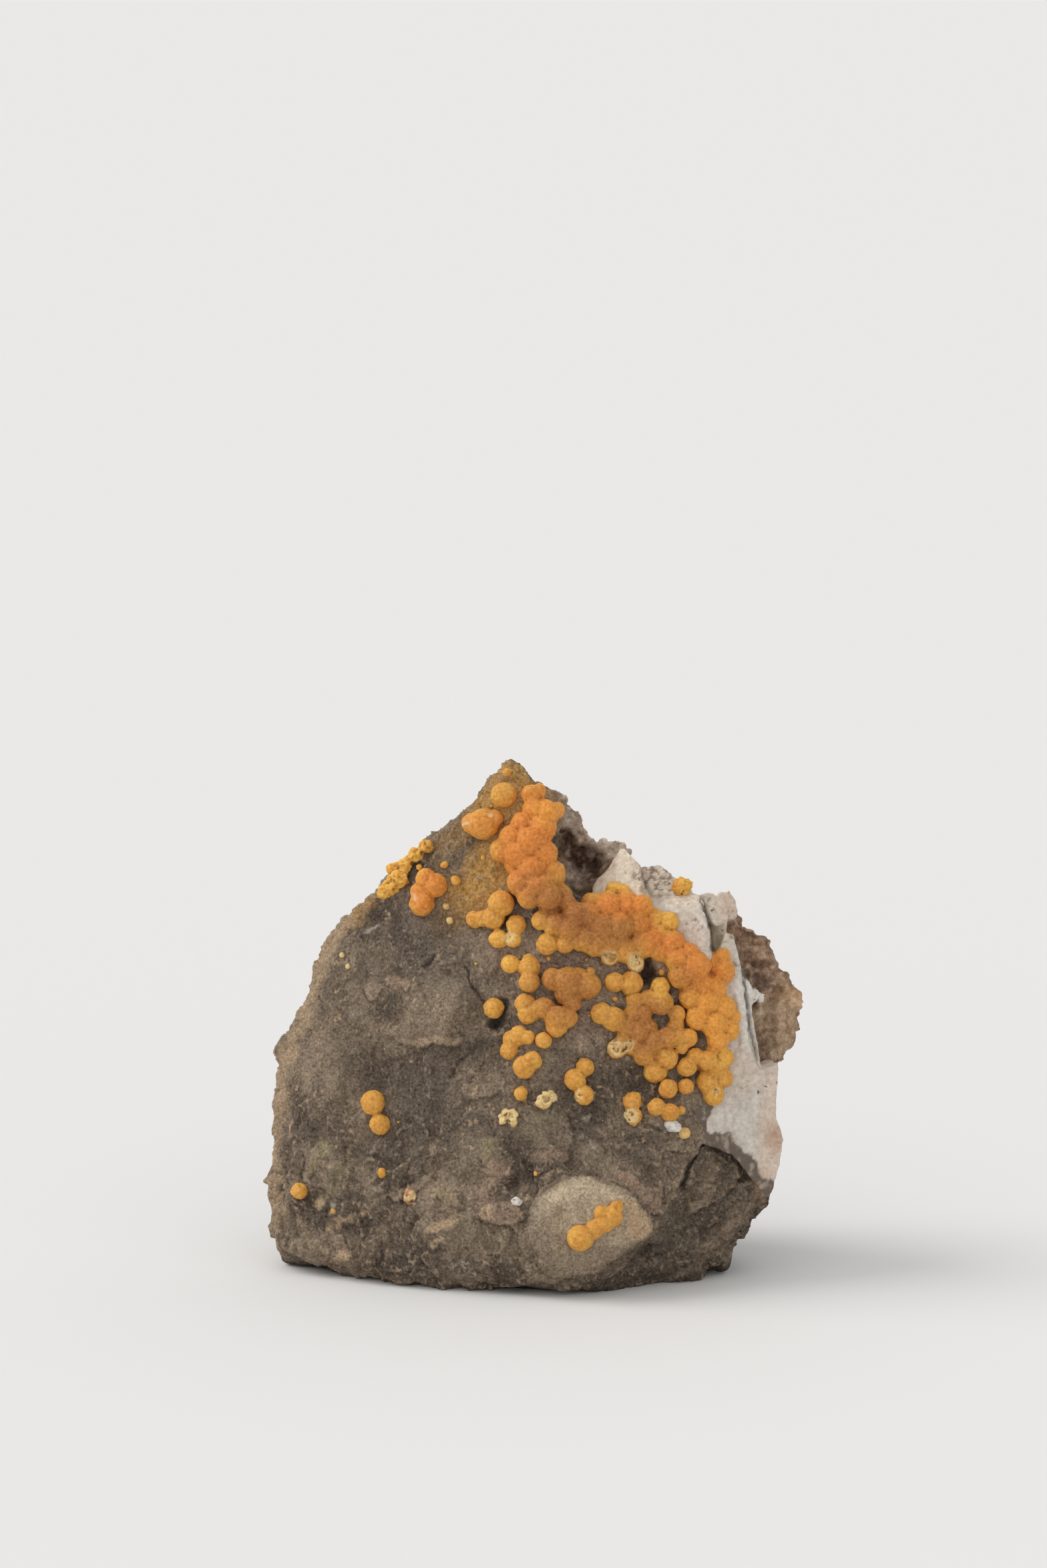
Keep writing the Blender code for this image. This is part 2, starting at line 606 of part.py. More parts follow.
def ball_mesh(balls, depth_at, lift, detail):
    """Spheres set on the surface, in one mesh, still separate bodies."""
    shape = bmesh.new()
    for u, v, diameter in balls:
        radius = diameter / 2 * BALL_GROWTH
        depth = depth_at(u, v) - lift * radius
        place = Matrix.Translation((u * MM, v * MM, -depth * MM))
        bmesh.ops.create_icosphere(shape, subdivisions=detail, radius=radius * MM, matrix=place)
    mesh = bpy.data.meshes.new("balls")
    shape.to_mesh(mesh)
    shape.free()
    return mesh


def bounds(target):
    corners = [corner.co for corner in target.data.vertices]
    low = [min(corner[axis] for corner in corners) for axis in range(3)]
    high = [max(corner[axis] for corner in corners) for axis in range(3)]
    return low, high


def near_each_other(first, second):
    reach = 2 * GAP * MM
    low_a, high_a = bounds(first)
    low_b, high_b = bounds(second)
    return all(low_a[axis] - reach < high_b[axis] and low_b[axis] - reach < high_a[axis]
               for axis in range(3))


def clear_neighbours(target, rooms):
    for room in rooms:
        if near_each_other(target, room):
            cut_away(target, room)
    weld(target)
    keep_largest(target)


def ball_cluster(name, balls, depth_at, rooms, collection):
    """Balls grown into one another, or one ball alone, cut clear of what is round them."""
    alone = len(balls) == 1
    detail = LONE_BALL_DETAIL if alone else JOINED_BALL_DETAIL
    cluster = object_from_mesh(name, ball_mesh(balls, depth_at, BALL_LIFT, detail), collection)
    if not alone:
        remesh(cluster, BALL_VOXEL)
        thin_out(cluster, TRIANGLES_PER_BALL * len(balls) + TRIANGLES_PER_CLUSTER)
    clear_neighbours(cluster, rooms)
    return cluster


def calcite_chip(name, place, depth_at, rooms, collection):
    chip = object_from_mesh(name, ball_mesh((place,), depth_at, CHIP_LIFT, LONE_BALL_DETAIL), collection)
    roughen(chip, 0.0, CHIP_FACETS, ())
    clear_neighbours(chip, rooms)
    return chip


def finish_piece(target, material, sheet, smooth=False):
    """Give a piece its finish, put its origin at its middle and stand it on the sheet."""
    target.data.materials.clear()
    target.data.materials.append(material)
    if smooth:
        target.data.shade_smooth()
        target.data.set_sharp_from_angle(angle=math.radians(SHARP_ANGLE))
    low, high = bounds(target)
    middle = (Vector(low) + Vector(high)) / 2
    target.data.transform(Matrix.Translation(-middle))
    target.location = middle
    target.parent = sheet


def build():
    clear_scene()
    noise.seed_set(FACET_SEED)
    specimen = make_collection("mimetite_specimen")
    cutters = make_collection("cutters", hidden=True)
    host_limestone = make_material("host_limestone", HOST_LIMESTONE)
    white_calcite = make_material("white_calcite", WHITE_CALCITE)
    brown_gossan = make_material("brown_gossan", BROWN_GOSSAN)
    orange_mimetite = make_material("orange_mimetite", ORANGE_MIMETITE)

    sheet = bpy.data.objects.new("sheet", None)
    specimen.objects.link(sheet)
    sheet.location = (SHEET_X * MM, SHEET_Y * MM, SHEET_Z * MM)
    sheet.rotation_euler = (math.radians(90.0 - LOOK_DOWN), 0.0, 0.0)
    bpy.context.view_layer.update()

    rock = make_rock(sheet, specimen, cutters)
    rooms = [clearance_copy(rock, cutters)]
    calcite = make_calcite(rooms, specimen, cutters)
    gossan = make_gossan(rooms, specimen, cutters)
    depth_at = surface_reader((rock, calcite, gossan))

    mimetite = []
    for name, balls in MIMETITE.items():
        cluster = ball_cluster("mimetite_" + name, balls, depth_at, rooms, specimen)
        rooms.append(clearance_copy(cluster, cutters))
        mimetite.append(cluster)
    chips = [calcite_chip(name, place, depth_at, rooms, specimen) for name, place in CHIPS.items()]

    finish_piece(rock, host_limestone, sheet)
    finish_piece(gossan, brown_gossan, sheet)
    for piece in (calcite, *chips):
        finish_piece(piece, white_calcite, sheet)
    for piece in mimetite:
        finish_piece(piece, orange_mimetite, sheet, smooth=True)
    for cutter in list(cutters.objects):
        bpy.data.objects.remove(cutter)
    bpy.context.view_layer.update()


build()
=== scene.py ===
"""Looks for a mimetite specimen: orange balls on a broken slab of grey-brown host rock.

A Blender 4.5 script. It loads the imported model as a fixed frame, and one operator for each
piece or group of like pieces builds the finished surfaces over it.

Shapes are worked out on the sheet: millimetres, x to the right (u), y up (v) and z towards
the viewer, on the plane that is square to the line of sight.
"""
import math

import bmesh
import bpy
import numpy as np
from bpy.props import FloatProperty, FloatVectorProperty, PointerProperty
from bpy.types import Operator, Panel, PropertyGroup
from mathutils import Matrix, Vector, noise
from mathutils.bvhtree import BVHTree


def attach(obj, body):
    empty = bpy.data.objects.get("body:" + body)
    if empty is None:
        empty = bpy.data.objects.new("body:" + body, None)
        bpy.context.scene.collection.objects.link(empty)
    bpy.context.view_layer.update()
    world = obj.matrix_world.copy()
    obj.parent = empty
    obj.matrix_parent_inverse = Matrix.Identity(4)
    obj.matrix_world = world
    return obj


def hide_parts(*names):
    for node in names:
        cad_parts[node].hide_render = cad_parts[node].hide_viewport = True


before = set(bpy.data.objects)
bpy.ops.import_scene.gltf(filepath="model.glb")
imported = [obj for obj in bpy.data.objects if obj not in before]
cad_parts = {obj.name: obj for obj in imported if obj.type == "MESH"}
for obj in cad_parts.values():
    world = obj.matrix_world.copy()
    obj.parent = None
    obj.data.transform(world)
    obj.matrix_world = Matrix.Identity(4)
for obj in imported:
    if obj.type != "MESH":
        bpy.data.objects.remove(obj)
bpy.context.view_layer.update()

bl_info = {
    "name": "Mimetite specimen",
    "version": (1, 0, 0),
    "blender": (4, 5, 0),
    "location": "View3D > Sidebar > Mimetite",
    "description": "Builds a mimetite specimen on its packed model",
    "category": "Add Mesh",
}

MM = 0.001
SEED = 5

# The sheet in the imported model's frame: the viewer looks down by this many degrees, and its
# origin is here, mm
LOOK_DOWN = 12.0
SHEET_PLACE = (-0.29, -17.17, 1.46)
SHEET = (Matrix.Translation(Vector(SHEET_PLACE) * MM)
         @ Matrix.Rotation(math.radians(90.0 - LOOK_DOWN), 4, "X")
         @ Matrix.Scale(MM, 4))
IN_FRONT = 20.0      # where the search for the surface starts

# The camera, on the sheet: the point that it aims at, and its own place
CAMERA_AIM = (-1.42, 56.6, -8.0)
CAMERA_PLACE = (0.0, 29.0, 742.0)
FRAME_HEIGHT = 176.2      # mm of the sheet that the tall side of the picture takes in
SENSOR = 36.0

# Mesh fineness, mm
ROCK_VOXEL = 0.25
KEPT_SHARE = 0.60    # of the rock's faces; the others are thinned out on its back
VEIN_VOXEL = 0.22
GOSSAN_VOXEL = 0.22
BALL_VOXEL = 0.13

# The slab, mm: how far its surface is let out, the front rim that keeps its height, the share
# of its height that the underside loses behind the rim, and 1 mm lanes to each side of the middle
ROCK_SWELL = 0.30
RIM_WIDTH = 2.5
UNDERSIDE_DROP = 0.85
LANES = 40
FAR_BACK = -40.0

# The floor, m: half its width, where it starts and bends up, and its bend
FLOOR_HALF = 7.0
FLOOR_FRONT = -4.0
FLOOR_BACK = 7.0
BEND_RADIUS = 1.5
BEND_STEPS = 24

# Flakes standing on the rock's face: centre, half sizes, turn, height, and the way that the
# broken edge faces; the other side runs into the rock. Less than no height is a scar.
FLAKES = (
    (-11, 29, 5, 2.5, -5, 0.55, -95), (-17.9, 33.4, 1.9, 1.9, 0, 0.5, -80),
    (-14.9, 34.3, 1.7, 1.5, 0, 0.45, -120), (-18.6, 28.4, 1.9, 3.2, 0, 0.4, 190),
    (-6.8, 21, 3.2, 3.6, -20, 0.5, 190), (-5.4, 23.4, 3.2, 1.8, -15, 0.35, -90),
    (-24.1, 15.4, 1.2, 1, 20, 0.4, -60), (-18.6, 10.6, 6, 2, 22, 0.6, -75),
    (-10.6, 14, 3.2, 1.6, 15, 0.4, -80), (-9.4, 10.6, 2.4, 1.2, -25, 0.4, -100),
    (-3.8, 10.6, 3.1, 3.4, 0, 0.9, -85), (-10.3, 6.4, 2, 1.2, 10, 0.5, -110),
    (-24.4, 3.6, 2.2, 1.7, 10, -0.7, 100), (-21.6, 3.7, 1.5, 1.1, 0, 0.5, 20),
    (12.4, 10.2, 2.4, 2.7, 0, 0.55, -10), (8.2, 15.4, 2, 2.6, 0, 0.45, 180),
    (12.8, 18.6, 3.4, 1.6, -10, 0.4, -95), (-28, 12, 1.8, 3.2, 0, 0.45, -20),
    (17.2, 15.4, 1.3, 3.4, -28, 0.5, 150), (-13, 20.4, 5.2, 4, 30, 0.35, -60),
    (-21, 19.6, 3.6, 5, 0, 0.4, -30), (-25, 25, 2.6, 4, 10, 0.35, -80), (2, 23, 3.4, 2.2, 20, 0.4, -110),
    (8, 21, 3, 2.2, 0, 0.35, -80), (-12.5, 41, 5, 2.2, 42, 0.4, -50), (-17, 39.6, 3.4, 1.6, 46, 0.4, -45),
    (-9, 37.2, 3.4, 2.4, 20, 0.4, -100), (-8.5, 47, 4.4, 1.6, 50, 0.35, -40),
    (-25.6, 10, 2.2, 2.2, 0, 0.4, -50), (-15.8, 5, 3.2, 1.6, 20, 0.45, -70),
    (-17.4, 15.4, 3, 1.8, -20, 0.3, -60), (0.6, 17, 2.8, 1.6, 10, 0.35, -100),
    (-3.4, 3, 3.6, 1.4, 0, 0.4, -80), (19.6, 9, 4.4, 1, 40, 0.6, -50), (21.6, 6, 4, 0.9, 38, 0.55, -50),
    (19, 3.4, 3.6, 1, 30, 0.5, -60), (23.6, 12, 1.6, 3, -30, 0.5, -20),
)
FLAKE_GAIN = 1.25
# A ledge is height, reach and points: its high side is on the left as the points run. A crack
# is depth, half width and points.
LEDGES = (
    (0.45, 1.6, (
        (-21.4, 4.2), (-21.5, 4.9), (-21.9, 5.9), (-23, 6.3), (-24.4, 5.9), (-25.3, 4.6), (-25.6, 3))),
    (0.4, 2.6, ((4.2, 1.4), (7.5, 2.7), (9.9, 4.2), (11.6, 5.3), (13, 6.3), (13.6, 7.2))),
    (0.45, 1.2, (
        (13.2, 7), (12.8, 8), (12.7, 8.8), (11.9, 9.1), (11.4, 10), (10.8, 10.7), (9.8, 11.4), (8.2, 12))),
    (0.4, 1.8, (
        (8.6, 12), (6.6, 12.7), (4.9, 12.9), (3.1, 12.7), (1.5, 11.8), (0.2, 10.5), (-0.7, 9), (-1.1, 7.4))),
    (0.35, 1.2, ((16, 11), (17, 13.5), (17.9, 15.1), (18.8, 16.7), (19.3, 17.6))),
)
CRACKS = (
    (0.4, 0.14, ((-8.1, 36.4), (-7.6, 35.2), (-7.4, 34.4), (-6.7, 33.4), (-5.9, 32.4), (-5, 31.4))),
    (0.3, 0.14, ((-6.6, 26.9), (-7.6, 26.1), (-8.6, 25.1), (-9.2, 24.2), (-9.8, 23.2))),
    (0.3, 0.14, ((-26.3, 15.2), (-26, 14.2), (-26.1, 13.2), (-26.7, 12))),
    (0.9, 0.22, ((16, 10.8), (16.8, 12.4), (17.6, 14.2), (18.6, 15.9), (19.8, 17.9))),
    (0.2, 0.1, ((-0.9, 11), (0.2, 12.6), (1.6, 13.6), (3, 14))),
    (0.9, 0.45, ((-3.4, 33), (-3.5, 31.4), (-4, 30), (-5.2, 29.2))),
    (0.3, 0.16, ((3.5, 19.8), (3.8, 18.9), (4.2, 17.8))),
    (0.3, 0.16, ((-12.4, 35.9), (-11.6, 36.6), (-10.8, 37.4))),
    (0.55, 0.3, ((-0.5, 42), (0.9, 42.6), (2.2, 42), (3.4, 41.6))),
    (0.3, 0.18, ((11.4, 18.6), (12.6, 18.2), (14.2, 17.6))),
)
# Pits: centre, half sizes, depth
PITS = (
    (12.3, 35.4, 1.1, 1.6, 1.6), (-3.4, 40.9, 0.9, 0.9, 0.7), (-0.6, 40.6, 1, 1.2, 0.7),
    (-2.3, 43.8, 0.7, 0.9, 0.5), (-4.6, 29.4, 1, 0.8, 0.6), (11.8, 31.6, 0.8, 1.1, 0.3),
)

# Scales of paler rock with crisp edges: colour, how much it covers, height, outline
SCALES = (
    ("lens", 0.5, -0.15, (
        (-1.3, 6.8), (-0.9, 8.2), (0.2, 10.6), (1.6, 11.4), (2.6, 12.3), (5.2, 12.9), (8.3, 12),
        (9.4, 11.8), (11.1, 10.4), (12.9, 8.1), (13.1, 6.5), (11.1, 5), (8.3, 3.4), (6.6, 2.4), (3.4, 2.2),
        (1.6, 3.4), (-0.4, 4.6))),
    ("lens", 0.8, -0.05, (
        (-0.4, 8.8), (0.8, 10.8), (2.7, 12.1), (5.3, 12.7), (8.3, 11.8), (10.9, 10.3), (12.7, 8.1),
        (12.9, 6.5), (11, 5.2), (8, 4.4), (6.2, 5), (3.4, 6.4), (1.2, 7.2))),
    ("glow", 0.9, 0.05, (
        (1, 10.4), (2.8, 11.9), (5.4, 12.5), (8.2, 11.6), (10, 10.4), (8.8, 9.9), (6.2, 11), (4, 10.2),
        (2.4, 9.4))),
    ("tan", 0.95, 0.15, (
        (9.6, 10.3), (11.1, 10.2), (12.7, 8), (12.9, 6.5), (11.1, 5.2), (9.8, 6.4), (10.3, 8.2))),
    ("rose", 0.85, 0.25, (
        (8.6, 12.5), (10.2, 13.3), (11.3, 12.4), (11.8, 11.6), (14, 11.4), (14.1, 9.6), (13.3, 8.1),
        (11.3, 10.7))),
    ("tan", 0.95, 0.25, (
        (-12.3, 6.9), (-11.2, 7.7), (-9.6, 8), (-8.5, 7.8), (-9.1, 6.8), (-10.8, 6.3), (-12.1, 6.3))),
    ("tan", 0.9, 0.15, ((-10.4, 6.2), (-10.7, 5.2), (-11.3, 4.5), (-12, 5), (-11.3, 5.7))),
    ("olive", 0.95, 0.25, (
        (-23.2, 15.6), (-24, 16.3), (-24.8, 15.6), (-25.5, 13.9), (-26.3, 11.8), (-25.6, 11.9),
        (-24.5, 13.9), (-23.5, 14.8))),
    ("tan", 0.85, 0.15, ((-24.2, 10.5), (-23.7, 9.7), (-24.5, 8.5), (-25, 9.5))),
    ("lens", 0.7, 0.1, ((-23.1, 9), (-22.4, 8.7), (-22.8, 8), (-23.2, 8.3))),
    ("tan", 0.8, 0.25, ((-23.1, 3.1), (-21.8, 4.1), (-20.8, 3.9), (-21, 3.1), (-22.3, 2.5))),
    ("rose", 0.9, 0.2, ((-5.4, 13.4), (-3.3, 13.8), (-3.7, 12.6), (-4.6, 11.7), (-5.2, 12.4))),
    ("olive", 0.95, 0.15, ((-6, 16.1), (-4.7, 16.4), (-4.7, 15.3), (-5.7, 13.9), (-6.2, 14.8))),
    ("rose", 0.5, 0.4, (
        (-6.7, 8.1), (-6, 9.2), (-4.4, 9.9), (-2.6, 9.7), (-1.3, 8.7), (-1.2, 7.9), (-2.6, 7.3),
        (-4.1, 7.4), (-5.5, 7.6))),
    ("tan", 0.8, 0.05, ((-6.7, 8.1), (-6, 9.2), (-5.2, 9.4), (-5, 8.2), (-5.6, 7.6))),
    ("olive", 0.8, 0.2, ((-11.8, 11), (-10.3, 11.3), (-9.2, 10.3), (-7.8, 9.1), (-9.2, 9.2), (-10.8, 10))),
    ("buff", 0.3, 0.35, (
        (-17, 28.6), (-15.2, 29.9), (-12, 30.4), (-9.4, 29.6), (-8.2, 28.2), (-8.6, 27), (-11, 27.5),
        (-13.4, 26.9), (-15.4, 27.6))),
    ("tan", 0.4, 0.1, (
        (-14.8, 27.2), (-13.4, 26.9), (-11, 27.5), (-8.6, 27), (-8.4, 27.8), (-11.2, 28.4), (-13.6, 27.9))),
    ("buff", 0.75, 0.3, ((-19.4, 33.8), (-18.3, 34.6), (-17.4, 33.8), (-17.7, 32.6), (-18.8, 32.2))),
    ("rose", 0.55, 0.2, ((-15.9, 34.4), (-14.6, 34.8), (-13.6, 34), (-14.5, 33.3))),
    ("buff", 0.4, 0.3, (
        (-8.2, 22.4), (-6.6, 23.6), (-4.2, 24.4), (-3.2, 22.8), (-5.4, 21.4), (-7.6, 21.2))),
    ("buff", 0.5, 0.3, (
        (-16.6, 10.4), (-13.6, 11.8), (-10.9, 13.6), (-10.6, 13), (-13.2, 10.9), (-16, 9.8))),
    ("buff", 0.45, 0.25, ((17.2, 8.2), (20.6, 10.2), (23, 12.6), (22.6, 13.2), (19.6, 11.4), (17, 9.2))),
    ("buff", 0.5, 0.25, (
        (17.6, 3.6), (20.4, 4.8), (23.4, 7.4), (25.4, 10), (25, 10.4), (22.4, 8.2), (19.6, 5.8),
        (17.4, 4.4))),
    ("shade_and_dark_stain", 0.45, -0.15, (
        (20.4, 13.4), (22.2, 14.6), (23.4, 13), (22.4, 10.8), (20.6, 9.8), (19.8, 11.6))),
)
# Where the rock laps up over the foot of the calcite
LAP = (
    (16.6, 24.2), (18.7, 23.6), (19.2, 21.6), (19.5, 20.4), (19.4, 19), (19.1, 17.6), (20, 17),
    (20.7, 17.5), (22.5, 17.3), (23.1, 15.8), (24.1, 14.9), (24.6, 13.4), (25.4, 12.4), (26.4, 11.7),
    (27.4, 9.6), (24, 8), (16.6, 12),
)

# Stains: centre, half sizes, turn in degrees, colour, strength, softness of the edge
ROCK_STAINS = (
    (-5.8, 46.2, 6.6, 2.8, 52, "gold", 0.95, 0.5), (-9, 50.4, 1, 4.6, -38, "gold", 0.35, 0.6),
    (-2.8, 56, 4.4, 4.6, 0, "gold", 0.8, 0.5), (-8.4, 51.6, 4.6, 1.2, 40, "gold", 0.45, 0.6),
    (-19.8, 42.6, 4.2, 1, 48, "gold", 0.6, 0.6), (-5.4, 38.6, 3.4, 3, 0, "buff", 0.45, 0.6),
    (-10.2, 49.4, 2.4, 3.4, -40, "slate", 0.45, 0.6), (-12, 38.5, 5.5, 5, 0, "slate", 0.55, 0.6),
    (-9.5, 20.5, 5.5, 5, -30, "slate", 0.55, 0.6), (-13.5, 24.5, 5, 3.2, 0, "slate", 0.35, 0.6),
    (-24.5, 30, 3, 5.5, 0, "buff", 0.3, 0.7), (-18.4, 33.4, 1.2, 1.4, 0, "buff", 0.55, 0.4),
    (-15.4, 34.2, 1.1, 0.9, 0, "rose", 0.55, 0.4), (-12.4, 31, 3.2, 2.6, 0, "buff", 0.35, 0.5),
    (-24.1, 15.4, 1.1, 0.8, 20, "olive", 0.8, 0.3), (-5.3, 15.8, 0.9, 0.9, 0, "olive", 0.75, 0.4),
    (-4.5, 13, 1.2, 1.2, 0, "rose", 0.75, 0.35), (-5.4, 10, 1, 2.6, 10, "rose", 0.5, 0.5),
    (-9.6, 9.3, 1.6, 0.9, 0, "buff", 0.8, 0.4), (-18.3, 15.4, 0.3, 0.3, 0, "spark", 0.8, 0.4),
    (-8.4, 3.4, 0.9, 0.3, 30, "spark", 0.6, 0.6), (-9.2, 2.6, 0.3, 0.2, 0, "spark", 0.8, 0.4),
    (-22.7, 9.7, 0.5, 0.3, 30, "spark", 0.7, 0.4), (5.6, 18.8, 0.5, 0.2, 20, "spark", 0.8, 0.4),
    (6.2, 16.7, 0.4, 0.2, 60, "spark", 0.8, 0.4), (15.4, 13.7, 0.5, 0.2, 40, "spark", 0.7, 0.4),
    (-18.6, 40.9, 0.7, 0.25, 40, "spark", 0.8, 0.4), (4, 20.6, 3.6, 1.8, 0, "shade_and_dark_stain", 0.35, 0.6),
    (-14.6, 17, 3.6, 4.4, 0, "slate", 0.4, 0.6), (-3.4, 57.7, 0.4, 0.4, 0, "spark", 0.6, 0.4),
    (-24.2, 12.2, 0.3, 0.3, 0, "spark", 0.6, 0.4), (-10.6, 11, 1.8, 0.8, -25, "tan", 0.45, 0.5),
    (-21.6, 3.7, 1.2, 0.9, 0, "rose", 0.8, 0.35), (-24.4, 9.6, 0.5, 0.9, 0, "tan", 0.7, 0.35),
    (-19, 8.5, 0.7, 0.4, 0, "tan", 0.7, 0.35), (-22, 7.4, 1.6, 0.5, 25, "tan", 0.5, 0.5),
    (-14.6, 11.2, 2, 0.35, 8, "rose", 0.5, 0.5), (5.8, 7.4, 8.4, 5, 22, "buff", 0.35, 0.6),
    (1.6, 15, 1.8, 0.6, 0, "rose", 0.55, 0.5), (1, 18.6, 2.6, 1.4, 20, "olive", 0.3, 0.6),
    (17.8, 18.2, 1.2, 0.8, 0, "buff", 0.5, 0.5), (17, 15.5, 0.8, 2.4, -28, "buff", 0.3, 0.5),
    (20, 4, 2.8, 0.6, 35, "buff", 0.6, 0.5), (21.4, 7.4, 3.4, 0.6, 38, "buff", 0.55, 0.5),
    (19.2, 12.6, 1.6, 2.8, -25, "buff", 0.35, 0.6), (25, 10.6, 0.9, 1.8, 20, "rose", 0.7, 0.5),
    (0.8, 37, 8, 2.4, -8, "rose", 0.3, 0.6), (7, 32.6, 8, 4, 0, "rose", 0.22, 0.6),
    (-2.6, 42.4, 1.4, 2.2, 0, "rust", 0.6, 0.5), (12.3, 35.4, 1.2, 1.6, 0, "rust", 0.85, 0.4),
    (14, 36.1, 1, 0.8, 0, "rose", 0.95, 0.3), (-16.2, 27.9, 3.4, 2.4, 0, "buff", 0.45, 0.5),
    (-10.5, 29.6, 3.6, 2.4, -10, "buff", 0.5, 0.4), (-21.6, 22, 2.4, 5, 10, "buff", 0.28, 0.6),
    (-3.8, 22.6, 3.4, 3.4, 0, "buff", 0.4, 0.5), (-22.6, 12.4, 1, 2.4, -30, "olive", 0.45, 0.5),
    (-17, 5.6, 4, 1.6, 25, "buff", 0.4, 0.5), (-4, 5.2, 4.4, 1.6, 0, "buff", 0.35, 0.6),
    (-14.4, 4.6, 3, 2.2, 0, "slate", 0.45, 0.6), (-4.3, 30.2, 1.2, 1.4, 0, "shade_and_dark_stain", 0.75, 0.5),
    (3.8, 18.9, 0.4, 1.1, 0, "rust", 0.5, 0.5),
)
# Painted shade: the rock is darker to the right of this line, where it steps back and faces down, away from
# the light
SHADED_SIDE = (
    (20.4, 19), (19.4, 17.4), (17.7, 13.9), (16.3, 11.4), (15, 9.9), (14.3, 8), (13, 6), (10.6, 4.3),
    (6.7, 2), (2.7, 1.1), (-2, 0.6), (-8, 0),
)
# Painted rim light down the left edge, whose faces turn to the light, and other stained lines: colour,
# strength, half width, points
ROCK_STROKES = (
    ("rim_light", 0.95, 1.7, (
        (-28.6, 4.4), (-29.4, 8), (-29.8, 12), (-29.7, 17.5), (-29.1, 22), (-28.9, 25), (-28.2, 27),
        (-26.2, 29.9), (-25.3, 34), (-23.7, 38.5), (-21.2, 41.6), (-18.2, 44.6))),
    ("rim_light", 0.5, 0.7, ((-27.4, 8.2), (-26.6, 6.4), (-25.6, 4.6), (-25, 3.4))),
    ("buff", 0.45, 0.5, ((4.2, 1.9), (7.5, 3.1), (9.9, 4.6), (11.6, 5.8), (12.9, 6.8))),
)
# The pale rim and lip colours are painted highlights, the darkest crack colour is painted shade, and the
# coal colour is painted shade in some places and a dark stain in others
SLATE_COLOURS = {
    "gold": "#EBB255", "buff": "#B09A80", "slate": "#5C5044", "olive": "#B6A882", "rose": "#D0AE94",
    "tan": "#F6D3A8", "glow": "#FFEAC8", "lens": "#F0DCBC", "shade_and_dark_stain": "#4A3F34", "rust": "#5A3423",
    "rim_light": "#D6B996", "spark": "#D6CCBC", "lip_highlight": "#C2AC92", "crevice_shade": "#241B15",
}

# Calcite and gossan blocks: near and far depth, lean of the near face along u and v, outline
CALCITE_BLOCKS = (
    # The cream block left of the notch, and its narrow right face
    (6, 15, (-0.5, 0.3), (
        (6.2, 42), (6.3, 44.9), (6.9, 45.9), (8.2, 47.4), (8.8, 48.3), (9.4, 49.3), (9.9, 49.4),
        (10.5, 48.8), (11.3, 47.6), (11.8, 44.9), (12.2, 41.5))),
    (5.6, 15, (1.3, 0.3), (
        (10.4, 48.8), (11.4, 47.7), (12, 45), (12.7, 43.6), (12.7, 41.5), (11.6, 41.5),
        (11.3, 46.5))),
    # The speckled lump
    (7.2, 16, (0.1, 0.55), (
        (11, 46.4), (11.8, 47.4), (12.9, 47.6), (14, 47.4), (15.5, 46.2), (16.9, 45.6),
        (17.6, 44.6), (17.6, 42), (12, 41.5))),
    # The main block: its front and its top
    (4.5, 14, (-0.16, 0.06), (
        (13.3, 43.1), (15.4, 42.3), (18.2, 42.9), (19.2, 41.6), (19.6, 39.6), (19.7, 37.2),
        (18.5, 34.8), (14.5, 37), (12.2, 41.5))),
    (5.5, 14, (-0.12, 1), (
        (13.3, 43.1), (14.6, 43.8), (17.2, 44.4), (18.3, 44.2), (18.9, 43), (18.2, 42.5),
        (15.4, 42))),
    # The block behind it: upper and lower face
    (7.2, 16.5, (0.35, 0.35), (
        (18.2, 44.1), (19.2, 44.5), (20.2, 44.2), (21.2, 43), (21.7, 41.6), (20.2, 40.5),
        (19.2, 41.6))),
    (7.9, 16.5, (-0.6, -0.2), (
        (19.2, 41.8), (20.2, 40.7), (21.6, 41.7), (21.4, 39.9), (22.2, 38.4), (22.2, 35.5),
        (18.4, 34.5), (19.2, 38))),
    # The pinkish lump at the far right
    (10.4, 17.5, (0.3, 0.2), (
        (19.8, 43.4), (20.6, 44.5), (21.8, 44.7), (22.6, 43.5), (22.8, 41.9), (22.2, 40.9),
        (20, 39))),
    # The strip beside the crust, a thin sheet on its right, and the patch below
    (6.2, 15.5, (0.28, 0.02), (
        (21.2, 40), (22.2, 39.6), (22.9, 36.6), (23.4, 34.6), (23.7, 32.1), (23.9, 27.4),
        (25.1, 24.4), (27.2, 25.2), (27.1, 22.8), (26.9, 19.1), (27.8, 16.7), (27.3, 13.8),
        (26.7, 11.3), (26.2, 10.1), (24.6, 11.5), (22, 15), (17.5, 16.5), (17.4, 20.5),
        (19.6, 25), (19.8, 36))),
    (7.4, 15.5, (0.1, 0), (
        (22.8, 36.2), (23.7, 34.8), (24.2, 32), (24.6, 29), (25.2, 25.6), (25.3, 24),
        (23.6, 24.5))),
    # White crystals between the strip and the gossan
    (7.6, 12, (0.5, 0.3), ((23.2, 34.3), (24, 34.6), (24.4, 33.6), (24.1, 32.7), (23.2, 32.8))),
    (8, 12.5, (-0.3, 0.6), ((24.2, 33.2), (24.9, 33.7), (25.2, 32.9), (24.7, 32), (24.1, 32.2))),
    (8.4, 13, (0.2, -0.3), ((25.1, 33), (25.8, 33.1), (25.7, 32.2), (25.1, 31.9))),
    (7.9, 13, (0.4, 0.1), ((23.5, 32), (24.3, 31.9), (24.3, 30.6), (23.6, 30.5))),
)
